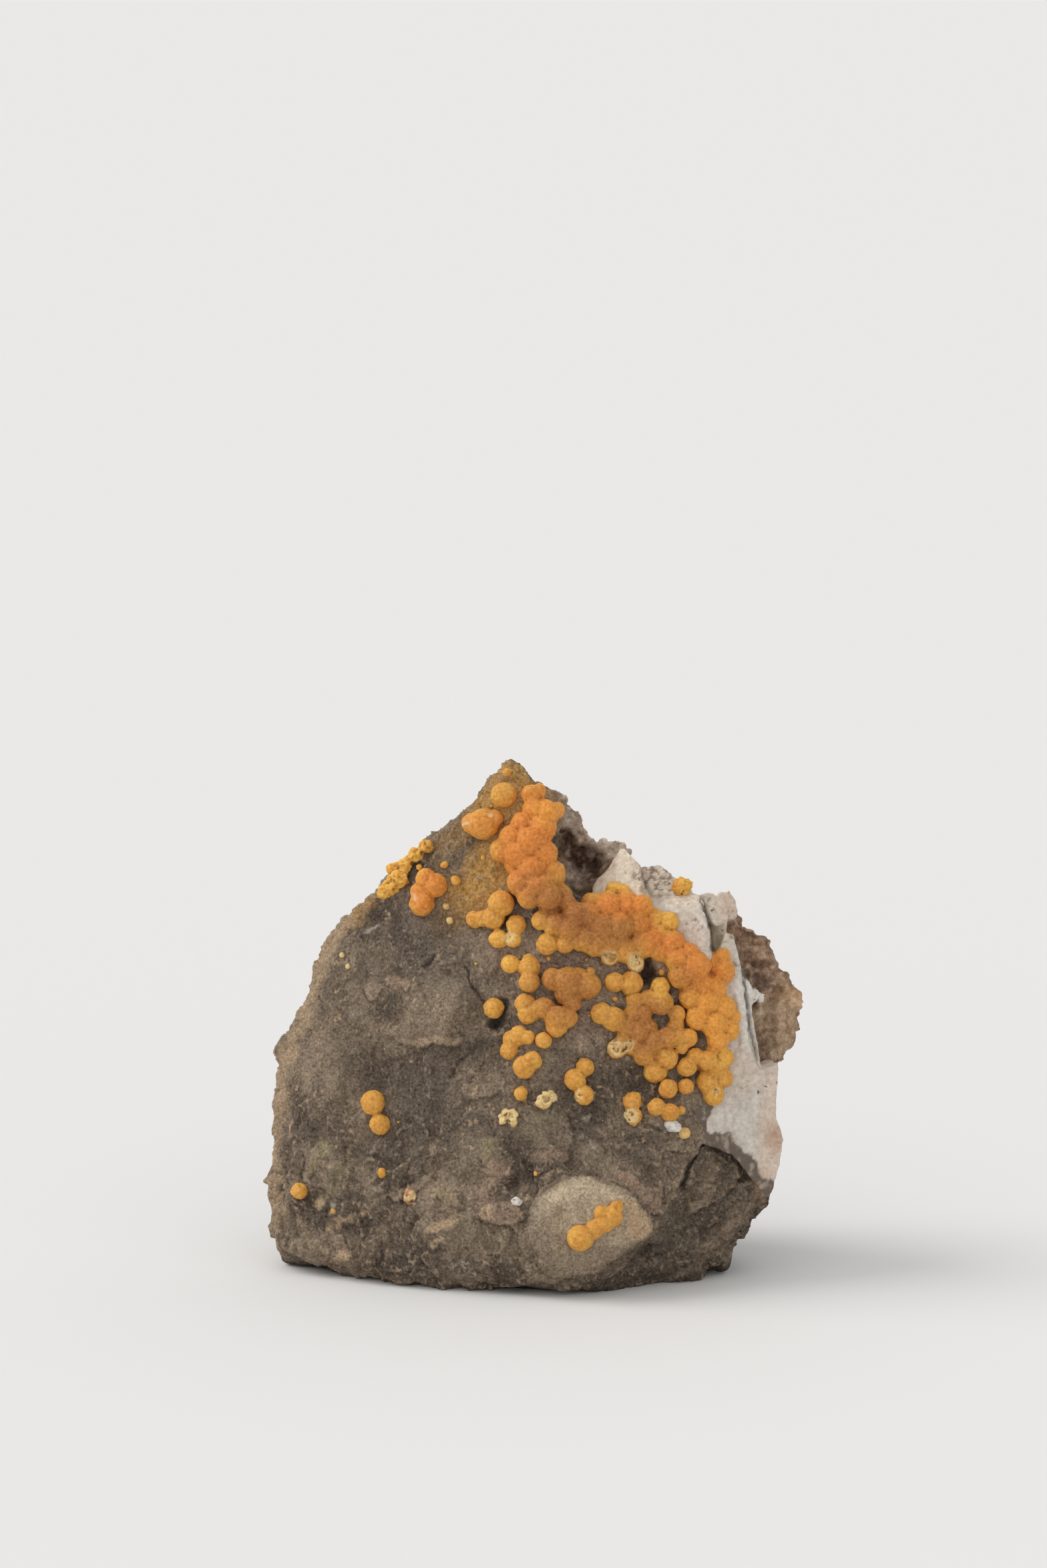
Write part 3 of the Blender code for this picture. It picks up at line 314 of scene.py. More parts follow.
GOSSAN_BLOCKS = (
    (9, 19, (0.15, 0), (
        (0.6, 56), (2.4, 56.2), (3.3, 55.6), (3.4, 54.3), (4.9, 53.8), (5.4, 51.6), (5.7, 50.6),
        (6.9, 49.8), (7.8, 50.4), (9.4, 50.5), (10.4, 49.7), (10.8, 46), (8, 41.5),
        (2, 41.5), (-1, 48), (-1, 54))),
    (14.5, 21.5, (0, 0), (
        (3, 44), (5, 49), (10, 48.6), (14, 46.6), (17.6, 43.8), (22.2, 43.6),
        (23.4, 40), (22.5, 33), (16, 33), (8, 38))),
    (9.6, 22.5, (0.3, 0.1), (
        (21.2, 41.3), (22.2, 40.9), (24.5, 40.5), (26.5, 37.7), (29.2, 34.5), (30.3, 32.4),
        (29.7, 29.2), (27.9, 25.3), (25.4, 24.2), (21, 22.5), (19, 30), (19.5, 38))),
)
# The blocks narrow toward the back: how much is left there, and about which place
CALCITE_TAPER = (0.8, 15, 34)
GOSSAN_TAPER = (0.74, 8, 34)

CALCITE_STAINS = (
    (9.2, 46, 3.6, 3.9, 0, "cream", 0.85, 0.3), (7.6, 46.4, 0.6, 2.6, -38, "peach", 0.75, 0.5),
    (11.9, 45.8, 0.5, 2.4, 10, "drab", 0.55, 0.4), (14, 46, 2.6, 1.7, -10, "drab", 0.6, 0.35),
    (16.5, 43.6, 2.4, 0.8, 12, "cream", 0.6, 0.5), (20.6, 39.6, 1.2, 2, 0, "moss", 0.75, 0.45),
    (20, 43, 1.4, 1.2, 0, "drab", 0.5, 0.5), (21.9, 43, 1.5, 2.2, 0, "peach", 0.85, 0.4),
    (23.2, 33.5, 0.9, 6.5, 4, "chalk", 0.45, 0.6), (24.2, 32.4, 1.6, 2.2, 0, "chalk", 0.6, 0.4),
    (23.6, 24.5, 2.4, 2.2, 0, "peach", 0.35, 0.6), (26.4, 17.4, 1.4, 7.5, -4, "peach", 0.7, 0.5),
    (26.9, 16.8, 1, 1.6, 0, "tan", 0.6, 0.5), (25.2, 12.4, 1, 1.6, 20, "tan", 0.45, 0.6),
    (18.2, 17.6, 1.4, 1.2, 0, "drab", 0.55, 0.6), (16, 45, 4.8, 2.6, -20, "drab", 0.35, 0.6),
    (17, 39.2, 2, 2.6, 0, "peach", 0.45, 0.6),
)
CALCITE_COLOURS = {
    "cream": "#FFF2DC", "peach": "#EAD2BE", "drab": "#E8D8C2", "tan": "#C79E7C", "seam_shade": "#5A4A3C",
    "moss": "#E8DCC4", "chalk": "#F4F1EA", "stone": "#6A5A4C", "fleck": "#7A5A44",
}
# Painted shade in the seams between the calcite blocks
CALCITE_STROKES = (
    ("seam_shade", 0.85, 0.22, ((19.7, 37), (19.6, 39.6), (19.2, 41.8), (18.6, 43.2), (18.3, 44.4))),
    ("seam_shade", 0.6, 0.2, ((11.6, 48), (12, 46.2), (12.6, 44.4), (13.2, 43.4))),
    ("seam_shade", 0.75, 0.22, ((22.8, 38), (23.2, 35), (23.6, 32), (24, 29), (24.6, 26), (25, 24.6))),
    ("seam_shade", 0.4, 0.3, ((21.6, 42), (21.5, 40.4), (22, 39))),
    ("tan", 0.4, 0.4, ((21, 36), (21.8, 33), (22.4, 29), (22.8, 26))),
)
CALCITE_CRACKS = (
    (0.5, 0.16, ((19.7, 37), (19.6, 39.6), (19.2, 41.8), (18.6, 43.2), (18.3, 44.4))),
    (0.6, 0.18, ((22.8, 38), (23.2, 35), (23.6, 32), (24, 29), (24.6, 26), (25, 24.6))),
    (0.3, 0.14, ((21.9, 34), (22.3, 30), (22.8, 26.4))),
    (0.3, 0.14, ((12, 47.6), (12.2, 45.6), (13, 43.8), (15, 44), (17, 44.5))),
)

# The darkest stains, in the pits of the notch and in the wing's hollows, are painted shade
GOSSAN_STAINS = (
    (5.8, 47.9, 2.5, 2.3, 0, "pit_shade", 0.97, 0.4), (3, 50.2, 1.2, 2.4, 20, "pit_shade", 0.75, 0.5),
    (4.2, 52.9, 1.6, 1.6, 0, "ash", 0.9, 0.35), (2, 55.5, 1.8, 1.1, 0, "blush", 0.95, 0.35),
    (8.4, 50, 3, 1.7, 0, "blush", 0.97, 0.35), (6.2, 50.2, 1, 0.8, 0, "ash", 0.7, 0.5),
    (3.8, 45.6, 1.8, 1.8, 0, "ash", 0.55, 0.6), (23.4, 38.8, 2.6, 1.4, -48, "umber", 0.95, 0.45),
    (26, 36.3, 3.6, 0.8, -45, "fawn", 0.8, 0.5), (25.2, 36, 2.4, 0.7, -45, "umber", 0.7, 0.5),
    (28.9, 32.4, 1.7, 1.7, 10, "apricot", 0.95, 0.4), (27, 33.7, 1.3, 0.7, -40, "umber", 0.5, 0.5),
    (25, 34.4, 1.5, 0.9, -30, "hollow", 0.85, 0.4), (25.8, 30.4, 1.5, 2.6, 8, "dun", 0.95, 0.4),
    (25, 27.4, 0.6, 1.8, 12, "hollow", 0.6, 0.5), (27.9, 29.4, 1.7, 3, -14, "fawn", 0.9, 0.4),
    (27, 26.8, 1.2, 1.6, 10, "dun", 0.8, 0.5),
)
GOSSAN_COLOURS = {
    "pit_shade": "#4E2510", "ash": "#EADDCE", "blush": "#FFF0DC", "umber": "#9C775C", "fawn": "#DDBE9E",
    "apricot": "#FFD9AC", "sugar": "#E4CEB4", "hollow": "#6B5040", "dun": "#CDB394",
}
GOSSAN_PITS = (
    (5.4, 48, 2.2, 2, 2.6), (3.2, 50.2, 1, 1.6, 1.2), (25.9, 29.2, 1.3, 2.4, 1.1),
    (27.4, 33.4, 0.8, 0.5, 0.8), (25, 36.4, 1.2, 0.5, 0.7), (23.6, 38, 0.8, 1.4, 0.7),
)

# Mimetite balls: place on the sheet and diameter
MIMETITE = {
    "crust": (
        (-0.6, 55.3, 2.1), (0.3, 55.7, 1.6), (-0.3, 53.5, 2.4), (1, 53.1, 3), (2.3, 53.5, 1.9),
        (-1.5, 52, 2.6), (0.6, 51.5, 3.2), (-2.7, 50.4, 2.8), (-0.6, 50, 3.4), (-3.9, 49, 2.5),
        (-1.9, 48.7, 3.2), (0.7, 48.6, 3.2), (-2.4, 47.4, 2.2), (-0.4, 46.9, 3.2), (1.7, 46.4, 3),
        (-1.7, 45.4, 3), (0.4, 45, 3.2), (-0.8, 43.9, 2.7), (1.4, 43.7, 2.8), (2.8, 44, 2.3),
        (3.5, 43.1, 2), (0.5, 41.2, 2), (2.1, 40.7, 2.5), (1.2, 38.5, 2.3), (3.2, 38.5, 2),
        (3.6, 40.2, 2.6), (4.4, 41.8, 2.8), (5.2, 39.1, 2.8), (5.9, 41.6, 3), (6.2, 43.1, 2.3),
        (6.6, 38.6, 2.8), (7.3, 40.4, 3.2), (8, 42.8, 3.2), (8.4, 38.4, 2.8), (8.2, 37.1, 1.9),
        (9.3, 40.6, 3.2), (10.2, 42.9, 2.9), (9.9, 37.9, 2.8), (11.1, 36.4, 1.9), (11.2, 40.8, 3.2),
        (11.9, 42.9, 2.3), (12, 38.6, 3), (12.9, 41.3, 2.6), (13.4, 39.3, 3.2), (13.8, 37.8, 2.4),
        (14.8, 41.1, 2.2), (15.2, 38.6, 2.9), (15.9, 36.9, 3), (17, 37.5, 2.4), (16.2, 35, 2.8),
        (17.8, 36, 3), (19.5, 36.3, 2.9), (20.8, 37.2, 1.9), (20.9, 35.5, 2.6), (18.2, 34.2, 2.8),
        (19.9, 33.8, 2.7), (17.3, 32.6, 2.6), (19, 32, 3), (20.8, 31.4, 2.9), (21.9, 30.5, 1.9),
        (18, 30.3, 2.6), (19.9, 29.6, 3), (21.4, 29, 2.6), (20.3, 27.9, 2.4), (21, 25.9, 2.1),
        (19.1, 25.6, 2.1), (17.8, 26, 1.9), (16.8, 24.8, 2.1), (20.2, 24.6, 2.4), (21, 23.6, 2),
        (19.1, 23.1, 2.3), (19.8, 21.8, 2.3), (8.7, 44.6, 1.8), (9.8, 44.4, 1.6)),
    "lower_right": (
        (7.3, 30.8, 2.3), (8.6, 30.2, 2.6), (11.1, 32.1, 2.1), (10.8, 30.8, 2.1), (11.8, 30.7, 2.2),
        (12.5, 32.4, 2), (13.9, 32, 2.7), (13.9, 33.8, 2.1), (10.2, 29.1, 2.3), (9, 26.9, 2.1),
        (9.9, 28, 2), (11.4, 28.7, 2.5), (12.5, 29.2, 2), (10.7, 27.2, 2), (12.1, 26.3, 2.5),
        (13.2, 27.6, 2.4), (14.6, 28, 2.4), (13.3, 24.3, 2.5), (14.6, 25.8, 2.4), (15.7, 30.7, 1.9),
        (15.6, 29.5, 1.8), (16, 28.2, 2), (17, 28.1, 2), (16.3, 27, 1.3)),
    "middle": (
        (1.8, 34.6, 2.3), (3.5, 34.3, 3.2), (4.7, 34.9, 2), (5.7, 33.9, 2.9), (6.1, 35.4, 1.1),
        (3.3, 33, 2.4), (4, 32, 2), (3.6, 30.3, 2), (2.3, 30.3, 2.6), (2.3, 29.3, 2.3), (0.9, 31.4, 2.3),
        (0.2, 31.2, 2), (-1.2, 31.9, 2.2), (-0.8, 30.8, 2.3)),
    "upper_left_edge": (
        (-12.4, 49.6, 1.5), (-13.5, 48.6, 1.6), (-14.6, 47.6, 1.5), (-15.9, 47, 1.8), (-15.4, 46, 2),
        (-16.3, 45.2, 1.9), (-17, 44.4, 1.6)),
    "left_large": ((-12.3, 45.9, 2.3), (-11.3, 45.2, 2.6), (-12.9, 44.4, 2.3), (-12.8, 43.1, 2.6)),
    "peak": ((-3.6, 55.2, 2.75),),
    "below_peak": ((-7.1, 52.1, 2.2), (-5.9, 52, 3.3), (-4.7, 52.6, 2)),
    "beside_crust": (
        (-3.9, 43.1, 2.75), (-4.7, 41.5, 2.5), (-5.9, 41.4, 1.8), (-6.9, 41.3, 1.9), (-2.2, 40.7, 2.1),
        (-4.2, 39.1, 2), (-2.5, 39.1, 1.8)),
    "yellow_and_orange": ((-2.9, 36.3, 2), (-0.75, 35.9, 2.4), (-0.75, 34.3, 2.2), (-0.9, 36.8, 1.3)),
    "crack_ball": ((-4.7, 31.4, 2.2),),
    "middle_pair": ((8.8, 34.3, 2.1), (10.6, 34.2, 2.5)),
    "hooked": ((-1.9, 28.3, 2.1), (-2.7, 27.9, 1.9), (-0.9, 28.1, 1.5), (-2.9, 26.7, 2.1)),
    "beside_hook": ((0.8, 27.8, 1.8),),
    "oval": ((-0.4, 25.6, 2), (-1.3, 24.8, 2.4)),
    "row_of_three": ((5.5, 24.8, 1.95), (4.3, 23.4, 2.3), (5.3, 21.7, 2.1)),
    "small_round": ((-1.7, 21.9, 1.55),),
    "pale_broken_right": ((0.8, 21, 1.5), (1.5, 21.5, 1.4)),
    "pale_broken_left": ((-3.6, 19.3, 1.3), (-2.7, 19.3, 1.4)),
    "right_low": ((14.7, 22.4, 2.1),),
    "right_low_small": ((16.7, 22.7, 1.75),),
    "broken_pair": ((10.7, 21, 2.1), (10.8, 19.4, 1.9)),
    "chipped_pair": ((13.4, 20.4, 1.9), (14.9, 19.8, 2)),
    "bead_right": ((16.2, 20, 1),),
    "low_right_bead": ((16.5, 17.5, 1.3),),
    "far_left_pair": ((-18.3, 20.8, 2.6), (-17.5, 18.4, 2.2)),
    "left_ball": ((-26.7, 10.8, 1.8),),
    "left_bead": ((-17.3, 12.9, 1.1),),
    "pink_broken": ((-14, 10.3, 1.7),),
    "upper_bead": ((-9, 45.7, 1.1),),
    "on_flake": (
        (4.9, 5.9, 2.8), (6.4, 6.8, 2), (7.5, 7.6, 2.2), (8.4, 8.3, 2.3), (8.9, 9.2, 1.5), (7.2, 8.7, 1.6)),
    "on_calcite": ((16.4, 44.9, 2),),
}
# Grains of mimetite and crumbs of crystal too small to be nodes of the model
SMALL_BEADS = (
    (-10.3, 47.5, 0.8), (-10.1, 42.8, 0.8), (-9.7, 41.2, 0.8), (-13.1, 47.2, 0.7), (-3.2, 57.8, 0.9),
    (-5, 54, 0.5), (-5.9, 48.2, 0.6), (-21.9, 37.4, 0.7), (-21.2, 36.1, 0.7), (-6.7, 36.3, 0.5),
    (0, 13, 0.7), (-22.8, 8.6, 0.6), (9.3, 9.7, 0.8), (-15.4, 18.6, 0.4), (5.9, 30.6, 0.5),
    (8.8, 32.4, 0.7), (14.9, 31.9, 0.7), (5.6, 36.8, 0.5), (14, 35.4, 0.7), (1.4, 36.9, 0.6),
)
BALL_LIFT = 0.30     # ball centre in front of the surface, in radii
BALL_GROWTH = 1.07   # makes up for what the smoothing takes off
# Crumbs of calcite: place, width and height
CHIPS = {
    "white_chip_right": (15.3, 18.25, 2, 1.25),
    "white_chip_low": (-2.1, 9.9, 1.1, 0.9),
}
CHIP_LIFT = 0.25

# Balls that are broken open: the place, how far the hollow reaches and its depth
CRATERS = (
    (8.2, 37, 0.7, 0.5), (11.1, 36.4, 0.75, 0.45), (9, 26.9, 0.8, 0.6), (10.3, 27.3, 0.5, 0.3),
    (1.3, 21.3, 0.6, 0.5), (10.4, 19.5, 0.6, 0.4), (-3.1, 19.3, 0.6, 0.4), (4.9, 21.8, 0.5, 0.3),
    (20.2, 22.1, 0.35, 0.3), (-14, 10.3, 0.5, 0.3), (-3, 39.3, 0.6, 0.4),
)
MIMETITE_STAINS = (
    (-0.6, 50, 3.6, 6.4, -12, "deep", 0.85, 0.45), (1.2, 53.6, 2, 1.8, 0, "bright_orange_and_top_light", 0.8, 0.5),
    (-0.2, 45, 2.4, 2, 0, "brown", 0.45, 0.6), (3.4, 42.4, 3.6, 2.4, -20, "brown", 0.85, 0.5),
    (8, 40, 4.6, 2.2, 0, "brown", 0.75, 0.5), (9.6, 43, 3.2, 1.5, 0, "deep", 0.85, 0.45),
    (14.6, 39.4, 3.6, 2.2, -35, "deep", 0.85, 0.45), (19, 35.6, 3.4, 3.2, 0, "deep", 0.7, 0.5),
    (19.8, 30, 3, 3.6, 0, "bright_orange_and_top_light", 0.75, 0.5), (16.4, 34.8, 1.6, 1.6, 0, "brown", 0.4, 0.6),
    (3.2, 33.2, 3.8, 3.4, 0, "brown", 0.7, 0.5), (12.4, 29.2, 3, 3.6, -20, "brown", 0.75, 0.5),
    (-12.2, 44.6, 2.4, 3, 0, "deep", 0.7, 0.5), (-6, 52, 2.2, 1.6, 0, "deep", 0.45, 0.5),
    (14.6, 41.2, 1.6, 1.3, -20, "yellow", 0.8, 0.4), (9.2, 44.9, 1.4, 0.6, 0, "yellow", 0.8, 0.4),
    (-15.4, 46.4, 4, 1.8, 45, "yellow", 0.7, 0.5), (-3.4, 39.2, 1.9, 1.2, 0, "yellow", 0.6, 0.4),
    (-2.9, 36.3, 1, 1.1, 0, "yellow", 0.75, 0.3), (13.9, 33.8, 1.1, 1.1, 0, "yellow", 0.6, 0.4),
    (21, 25.9, 1, 1, 0, "yellow", 0.8, 0.3), (1.2, 21.2, 1.6, 1.2, 0, "pale", 0.8, 0.4),
    (-3.1, 19.3, 1.6, 1.1, 0, "pale", 0.9, 0.4), (10.4, 19.3, 1, 0.9, 0, "pale", 0.85, 0.4),
    (9, 26.9, 0.9, 0.9, 0, "pale", 0.45, 0.5), (11.1, 36.4, 0.9, 0.9, 0, "pale", 0.55, 0.5),
    (-14, 10.3, 1.2, 1.2, 0, "pink", 0.9, 0.4), (-10, 42, 1.2, 1.8, 0, "pale", 0.7, 0.4),
    (-21.6, 36.8, 1.4, 1.4, 0, "pale", 0.8, 0.4), (16.5, 17.5, 0.9, 0.9, 0, "pale", 0.5, 0.4),
    (-7.8, 52, 0.35, 0.2, 20, "glint", 0.6, 0.6), (-5.2, 52.9, 0.4, 0.2, -10, "glint", 0.55, 0.6),
    (-13.6, 44, 0.2, 0.5, 10, "glint", 0.35, 0.6), (17, 45.3, 1.1, 1.2, 0, "yellow", 0.7, 0.4),
)
# The bright colour is a brighter orange that also carries painted light on the top of the crust, and the
# crease colour is painted shade
MIMETITE_COLOURS = {
    "deep": "#E88A28", "bright_orange_and_top_light": "#F6A838", "brown": "#AC6520", "yellow": "#F9C552", "pale": "#F0DEA8",
    "pink": "#C49878", "crease": "#9A5A20", "glint": "#FFF2D8",
}
# How broken the surface of a cluster is, mm
ROUGHER = {"on_calcite": 0.34, "upper_left_edge": 0.30, "pale_broken_left": 0.45,
           "pale_broken_right": 0.34, "broken_pair": 0.14, "pink_broken": 0.16}


def linear(code):
    """An sRGB hex colour as linear red, green and blue."""
    parts = [int(code[start:start + 2], 16) / 255 for start in (1, 3, 5)]
    return tuple(c / 12.92 if c <= 0.04045 else ((c + 0.055) / 1.055) ** 2.4 for c in parts)


def colour_of(code):
    return (*linear(code), 1.0)


def ease(value):
    """A smooth rise from 0 to 1, for arrays too."""
    value = np.clip(value, 0.0, 1.0)
    return value * value * (3.0 - 2.0 * value)


def positions(mesh):
    flat = np.empty(len(mesh.vertices) * 3)
    mesh.vertices.foreach_get("co", flat)
    return flat.reshape(-1, 3)


def normals(mesh):
    mesh.update()
    flat = np.empty(len(mesh.vertices) * 3)
    mesh.vertices.foreach_get("normal", flat)
    return flat.reshape(-1, 3)


def move_to(mesh, places):
    mesh.vertices.foreach_set("co", places.ravel())
    mesh.update()


def fractal(places, size, octaves=3):
    """Layered noise, about -1 to 1. The size is that of its largest waves, in mm."""
    return np.array([noise.fractal(place, 1.0, 2.0, octaves) for place in (places / size).tolist()])


def facets(places, size):
    """Flat broken facets: each cell of a cracked pattern tilts its own way."""
    heights = []
    for place in (places / size).tolist():
        cell = noise.voronoi(place)[1][0]
        heights.append((Vector(place) - cell).dot(noise.noise_vector(cell * 7.31)))
    return np.array(heights)


def terraces(values, steps):
    """Turn rolling heights into flat steps with short slopes between them."""
    scaled = values * steps
    whole = np.floor(scaled)
    return (whole + ease((scaled - whole - 0.8) / 0.2)) / steps


def along_line(u, v, points):
    """Distance to a line of points, which side of it (left is 1), and a taper to its ends."""
    lengths = [math.dist(a, b) for a, b in zip(points, points[1:])]
    best = np.full(len(u), 1e9)
    side = np.zeros(len(u))
    share = np.zeros(len(u))
    walked = 0.0
    for start, end, length in zip(points, points[1:], lengths):
        ahead = ((end[0] - start[0]) / length, (end[1] - start[1]) / length)
        along = np.clip((u - start[0]) * ahead[0] + (v - start[1]) * ahead[1], 0.0, length)
        across_u = u - start[0] - along * ahead[0]
        across_v = v - start[1] - along * ahead[1]
        distance = np.hypot(across_u, across_v)
        nearer = distance < best
        best[nearer] = distance[nearer]
        leftness = ahead[0] * across_v - ahead[1] * across_u
        side[nearer] = leftness[nearer]
        share[nearer] = (walked + along[nearer]) / sum(lengths)
        walked += length
    taper = ease(np.minimum(share, 1.0 - share) / 0.15)
    return best, side, taper


def wobbled(places, amount, size):
    """The u and v of each place, shifted by noise so that drawn edges run unevenly."""
    u = places[:, 0] + amount * fractal(places, size)
    v = places[:, 1] + amount * fractal(places + 37.0, size)
    return u, v


def within(u, v, outline):
    """How deep each place lies inside a closed outline, in mm; less than nothing is outside."""
    distance = np.full(len(u), 1e9)
    inside = np.zeros(len(u), dtype=bool)
    for (from_u, from_v), (to_u, to_v) in zip(outline, outline[1:] + outline[:1]):
        edge_u, edge_v = to_u - from_u, to_v - from_v
        along = ((u - from_u) * edge_u + (v - from_v) * edge_v) / (edge_u ** 2 + edge_v ** 2)
        along = np.clip(along, 0.0, 1.0)
        distance = np.minimum(distance, np.hypot(u - from_u - along * edge_u, v - from_v - along * edge_v))
        if edge_v:
            crosses = (from_v > v) != (to_v > v)
            inside ^= crosses & (u < from_u + (v - from_v) / edge_v * edge_u)
    return np.where(inside, distance, -distance)


def oval(u, v, at_u, at_v, half_u, half_v, turn=0.0):
    """How far out each place is from an oval's middle, 1 on its edge."""
    angle = math.radians(turn)
    across = (u - at_u) * math.cos(angle) + (v - at_v) * math.sin(angle)
    up = (v - at_v) * math.cos(angle) - (u - at_u) * math.sin(angle)
    return np.hypot(across / half_u, up / half_v)


class Paint:
    """Colours laid over one another at each corner of a mesh, and how much they cover."""

    def __init__(self, mesh, palette):
        self.mesh = mesh
        self.palette = palette
        self.colour = np.zeros((len(mesh.vertices), 3))
        self.cover = np.zeros(len(mesh.vertices))

    def lay(self, name, mask):
        mask = np.clip(mask, 0.0, 1.0)
        under = self.cover * (1.0 - mask)
        total = under + mask
        shown = np.array(linear(self.palette[name]))
        mixed = self.colour * under[:, None] + shown * mask[:, None]
        self.colour = mixed / np.maximum(total, 1e-6)[:, None]
        self.cover = total

    def stains(self, u, v, stains, front):
        for at_u, at_v, half_u, half_v, turn, name, strength, soft in stains:
            reach = oval(u, v, at_u, at_v, half_u, half_v, turn)
            self.lay(name, front * strength * (1.0 - ease((reach - 1.0 + soft) / (2.0 * soft))))

    def strokes(self, u, v, strokes, front):
        for name, strength, half_width, points in strokes:
            distance, _, taper = along_line(u, v, points)
            self.lay(name, front * strength * taper * (1.0 - ease(distance / half_width)))

    def write(self):
        layer = self.mesh.attributes.new("stain", "FLOAT_COLOR", "POINT")
        values = np.concatenate((self.colour, self.cover[:, None]), axis=1)
        layer.data.foreach_set("color", values.ravel())


def object_from_bmesh(name, shape):
    mesh = bpy.data.meshes.new(name)
    shape.to_mesh(mesh)
    shape.free()
    made = bpy.data.objects.new(name, mesh)
    bpy.context.scene.collection.objects.link(made)
    return made


def node_on_sheet(cad_name, name):
    """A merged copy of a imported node's mesh, on the sheet in mm."""
    shape = bmesh.new()
    shape.from_mesh(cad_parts[cad_name].data)
    bmesh.ops.remove_doubles(shape, verts=shape.verts, dist=0.00001)
    bmesh.ops.transform(shape, matrix=SHEET.inverted(), verts=shape.verts)
    return object_from_bmesh(name, shape)


def apply_modifiers(piece):
    bpy.context.view_layer.update()
    seen = piece.evaluated_get(bpy.context.evaluated_depsgraph_get())
    mesh = bpy.data.meshes.new_from_object(seen)
    old = piece.data
    piece.modifiers.clear()
    piece.data = mesh
    bpy.data.meshes.remove(old)


def remesh(piece, voxel):
    step = piece.modifiers.new("remesh", "REMESH")
    step.mode = "VOXEL"
    step.voxel_size = voxel
    apply_modifiers(piece)


def neighbours(mesh):
    """The two ends of every edge, and how many edges meet at each corner."""
    ends = np.empty(len(mesh.edges) * 2, dtype=np.int32)
    mesh.edges.foreach_get("vertices", ends)
    first, second = ends.reshape(-1, 2).T
    return first, second, np.maximum(np.bincount(ends, minlength=len(mesh.vertices)), 1)


def thin_back(piece, keep):
    """Thin out the mesh where it faces away from the viewer, down to a share of its faces."""
    behind = normals(piece.data)[:, 2] < 0.15
    group = piece.vertex_groups.new(name="behind")
    group.add(np.flatnonzero(behind).tolist(), 1.0, "REPLACE")
    step = piece.modifiers.new("thin", "DECIMATE")
    step.ratio = keep
    step.vertex_group = group.name
    step.vertex_group_factor = 10.0
    apply_modifiers(piece)
    piece.vertex_groups.clear()


def spread(mesh, values, rounds):
    """Average each corner's value with those of the corners beside it."""
    first, second, count = neighbours(mesh)
    for _ in range(rounds):
        total = (np.bincount(first, values[second], len(values))
                 + np.bincount(second, values[first], len(values)))
        values = 0.5 * values + 0.5 * total / count
    return values


def crests(mesh, height, rounds):
    """How far each corner stands above (or lies below) what is round it, in mm."""
    return height - spread(mesh, height, rounds)


def bulges(mesh, places, out, rounds):
    """How far each corner stands out from the rounded-off form of what is round it, in mm."""
    smooth = np.stack([spread(mesh, places[:, axis].copy(), rounds) for axis in range(3)], axis=1)
    return ((places - smooth) * out).sum(axis=1)


def relax(piece, rounds):
    """Even out the steps that a remesh leaves."""
    shape = bmesh.new()
    shape.from_mesh(piece.data)
    for _ in range(rounds):
        bmesh.ops.smooth_vert(shape, verts=shape.verts, factor=0.5, use_axis_x=True,
                              use_axis_y=True, use_axis_z=True)
    shape.to_mesh(piece.data)
    shape.free()


def block_body(name, blocks, taper, voxel):
    """Thick leaning outlines melted into one body."""
    left, centre_u, centre_v = taper
    shape = bmesh.new()
    for near, far, lean, outline in blocks:
        middle_u = sum(point[0] for point in outline) / len(outline)
        middle_v = sum(point[1] for point in outline) / len(outline)
        face = shape.faces.new([shape.verts.new((u, v, -near)) for u, v in outline])
        face.normal_update()
        if face.normal.z < 0.0:
            face.normal_flip()
        made = bmesh.ops.extrude_face_region(shape, geom=[face])["geom"]
        back = [item for item in made if isinstance(item, bmesh.types.BMVert)]
        front = list(face.verts)
        for corner in back:
            corner.co = (centre_u + left * (corner.co.x - centre_u),
                         centre_v + left * (corner.co.y - centre_v), -far)
        for corner in front:
            corner.co.z -= lean[0] * (corner.co.x - middle_u) + lean[1] * (corner.co.y - middle_v)
    bmesh.ops.recalc_face_normals(shape, faces=shape.faces)
    bmesh.ops.triangulate(shape, faces=shape.faces)
    body = object_from_bmesh(name, shape)
    remesh(body, voxel)
    return body


def check_made(piece):
    if not piece.data.polygons:
        raise RuntimeError(piece.name + " came out empty")


def surface_reader(pieces):
    """A function that gives the z of the first surface seen at a place on the sheet."""
    shape = bmesh.new()
    for piece in pieces:
        shape.from_mesh(piece.data)
    tree = BVHTree.FromBMesh(shape)
    shape.free()

    def height_at(u, v):
        hit = tree.ray_cast(Vector((u, v, IN_FRONT)), Vector((0.0, 0.0, -1.0)))[0]
        return hit.z if hit else tree.find_nearest(Vector((u, v, -6.0)))[0].z

    return height_at


def finish_piece(piece, material, slot, *nodes):
    """Put a piece in its place in the frame, give it its finish and hide the nodes that it stands for."""
    check_made(piece)
    missing = [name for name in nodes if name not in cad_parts]
    if missing:
        raise RuntimeError("The frame has no node named " + ", ".join(missing))
    piece.data.transform(SHEET)
    piece.data.materials.clear()
    piece.data.materials.append(material)
    piece.data.shade_smooth()
    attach(piece, "root")
    if nodes:
        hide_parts(*nodes)


def node(tree, kind, inputs=None, **settings):
    """Add a shader node with its settings, its values and its links."""
    made = tree.nodes.new(kind)
    for name, value in settings.items():
        setattr(made, name, value)
    for key, value in (inputs or {}).items():
        if isinstance(value, bpy.types.NodeSocket):
            tree.links.new(value, made.inputs[key])
        else:
            made.inputs[key].default_value = value
    return made


def new_material(name):
    material = bpy.data.materials.new(name)
    material.use_nodes = True
    tree = material.node_tree
    tree.nodes.clear()
    place = node(tree, "ShaderNodeTexCoord").outputs["Object"]
    stain = node(tree, "ShaderNodeAttribute", attribute_name="stain")
    return material, tree, place, stain


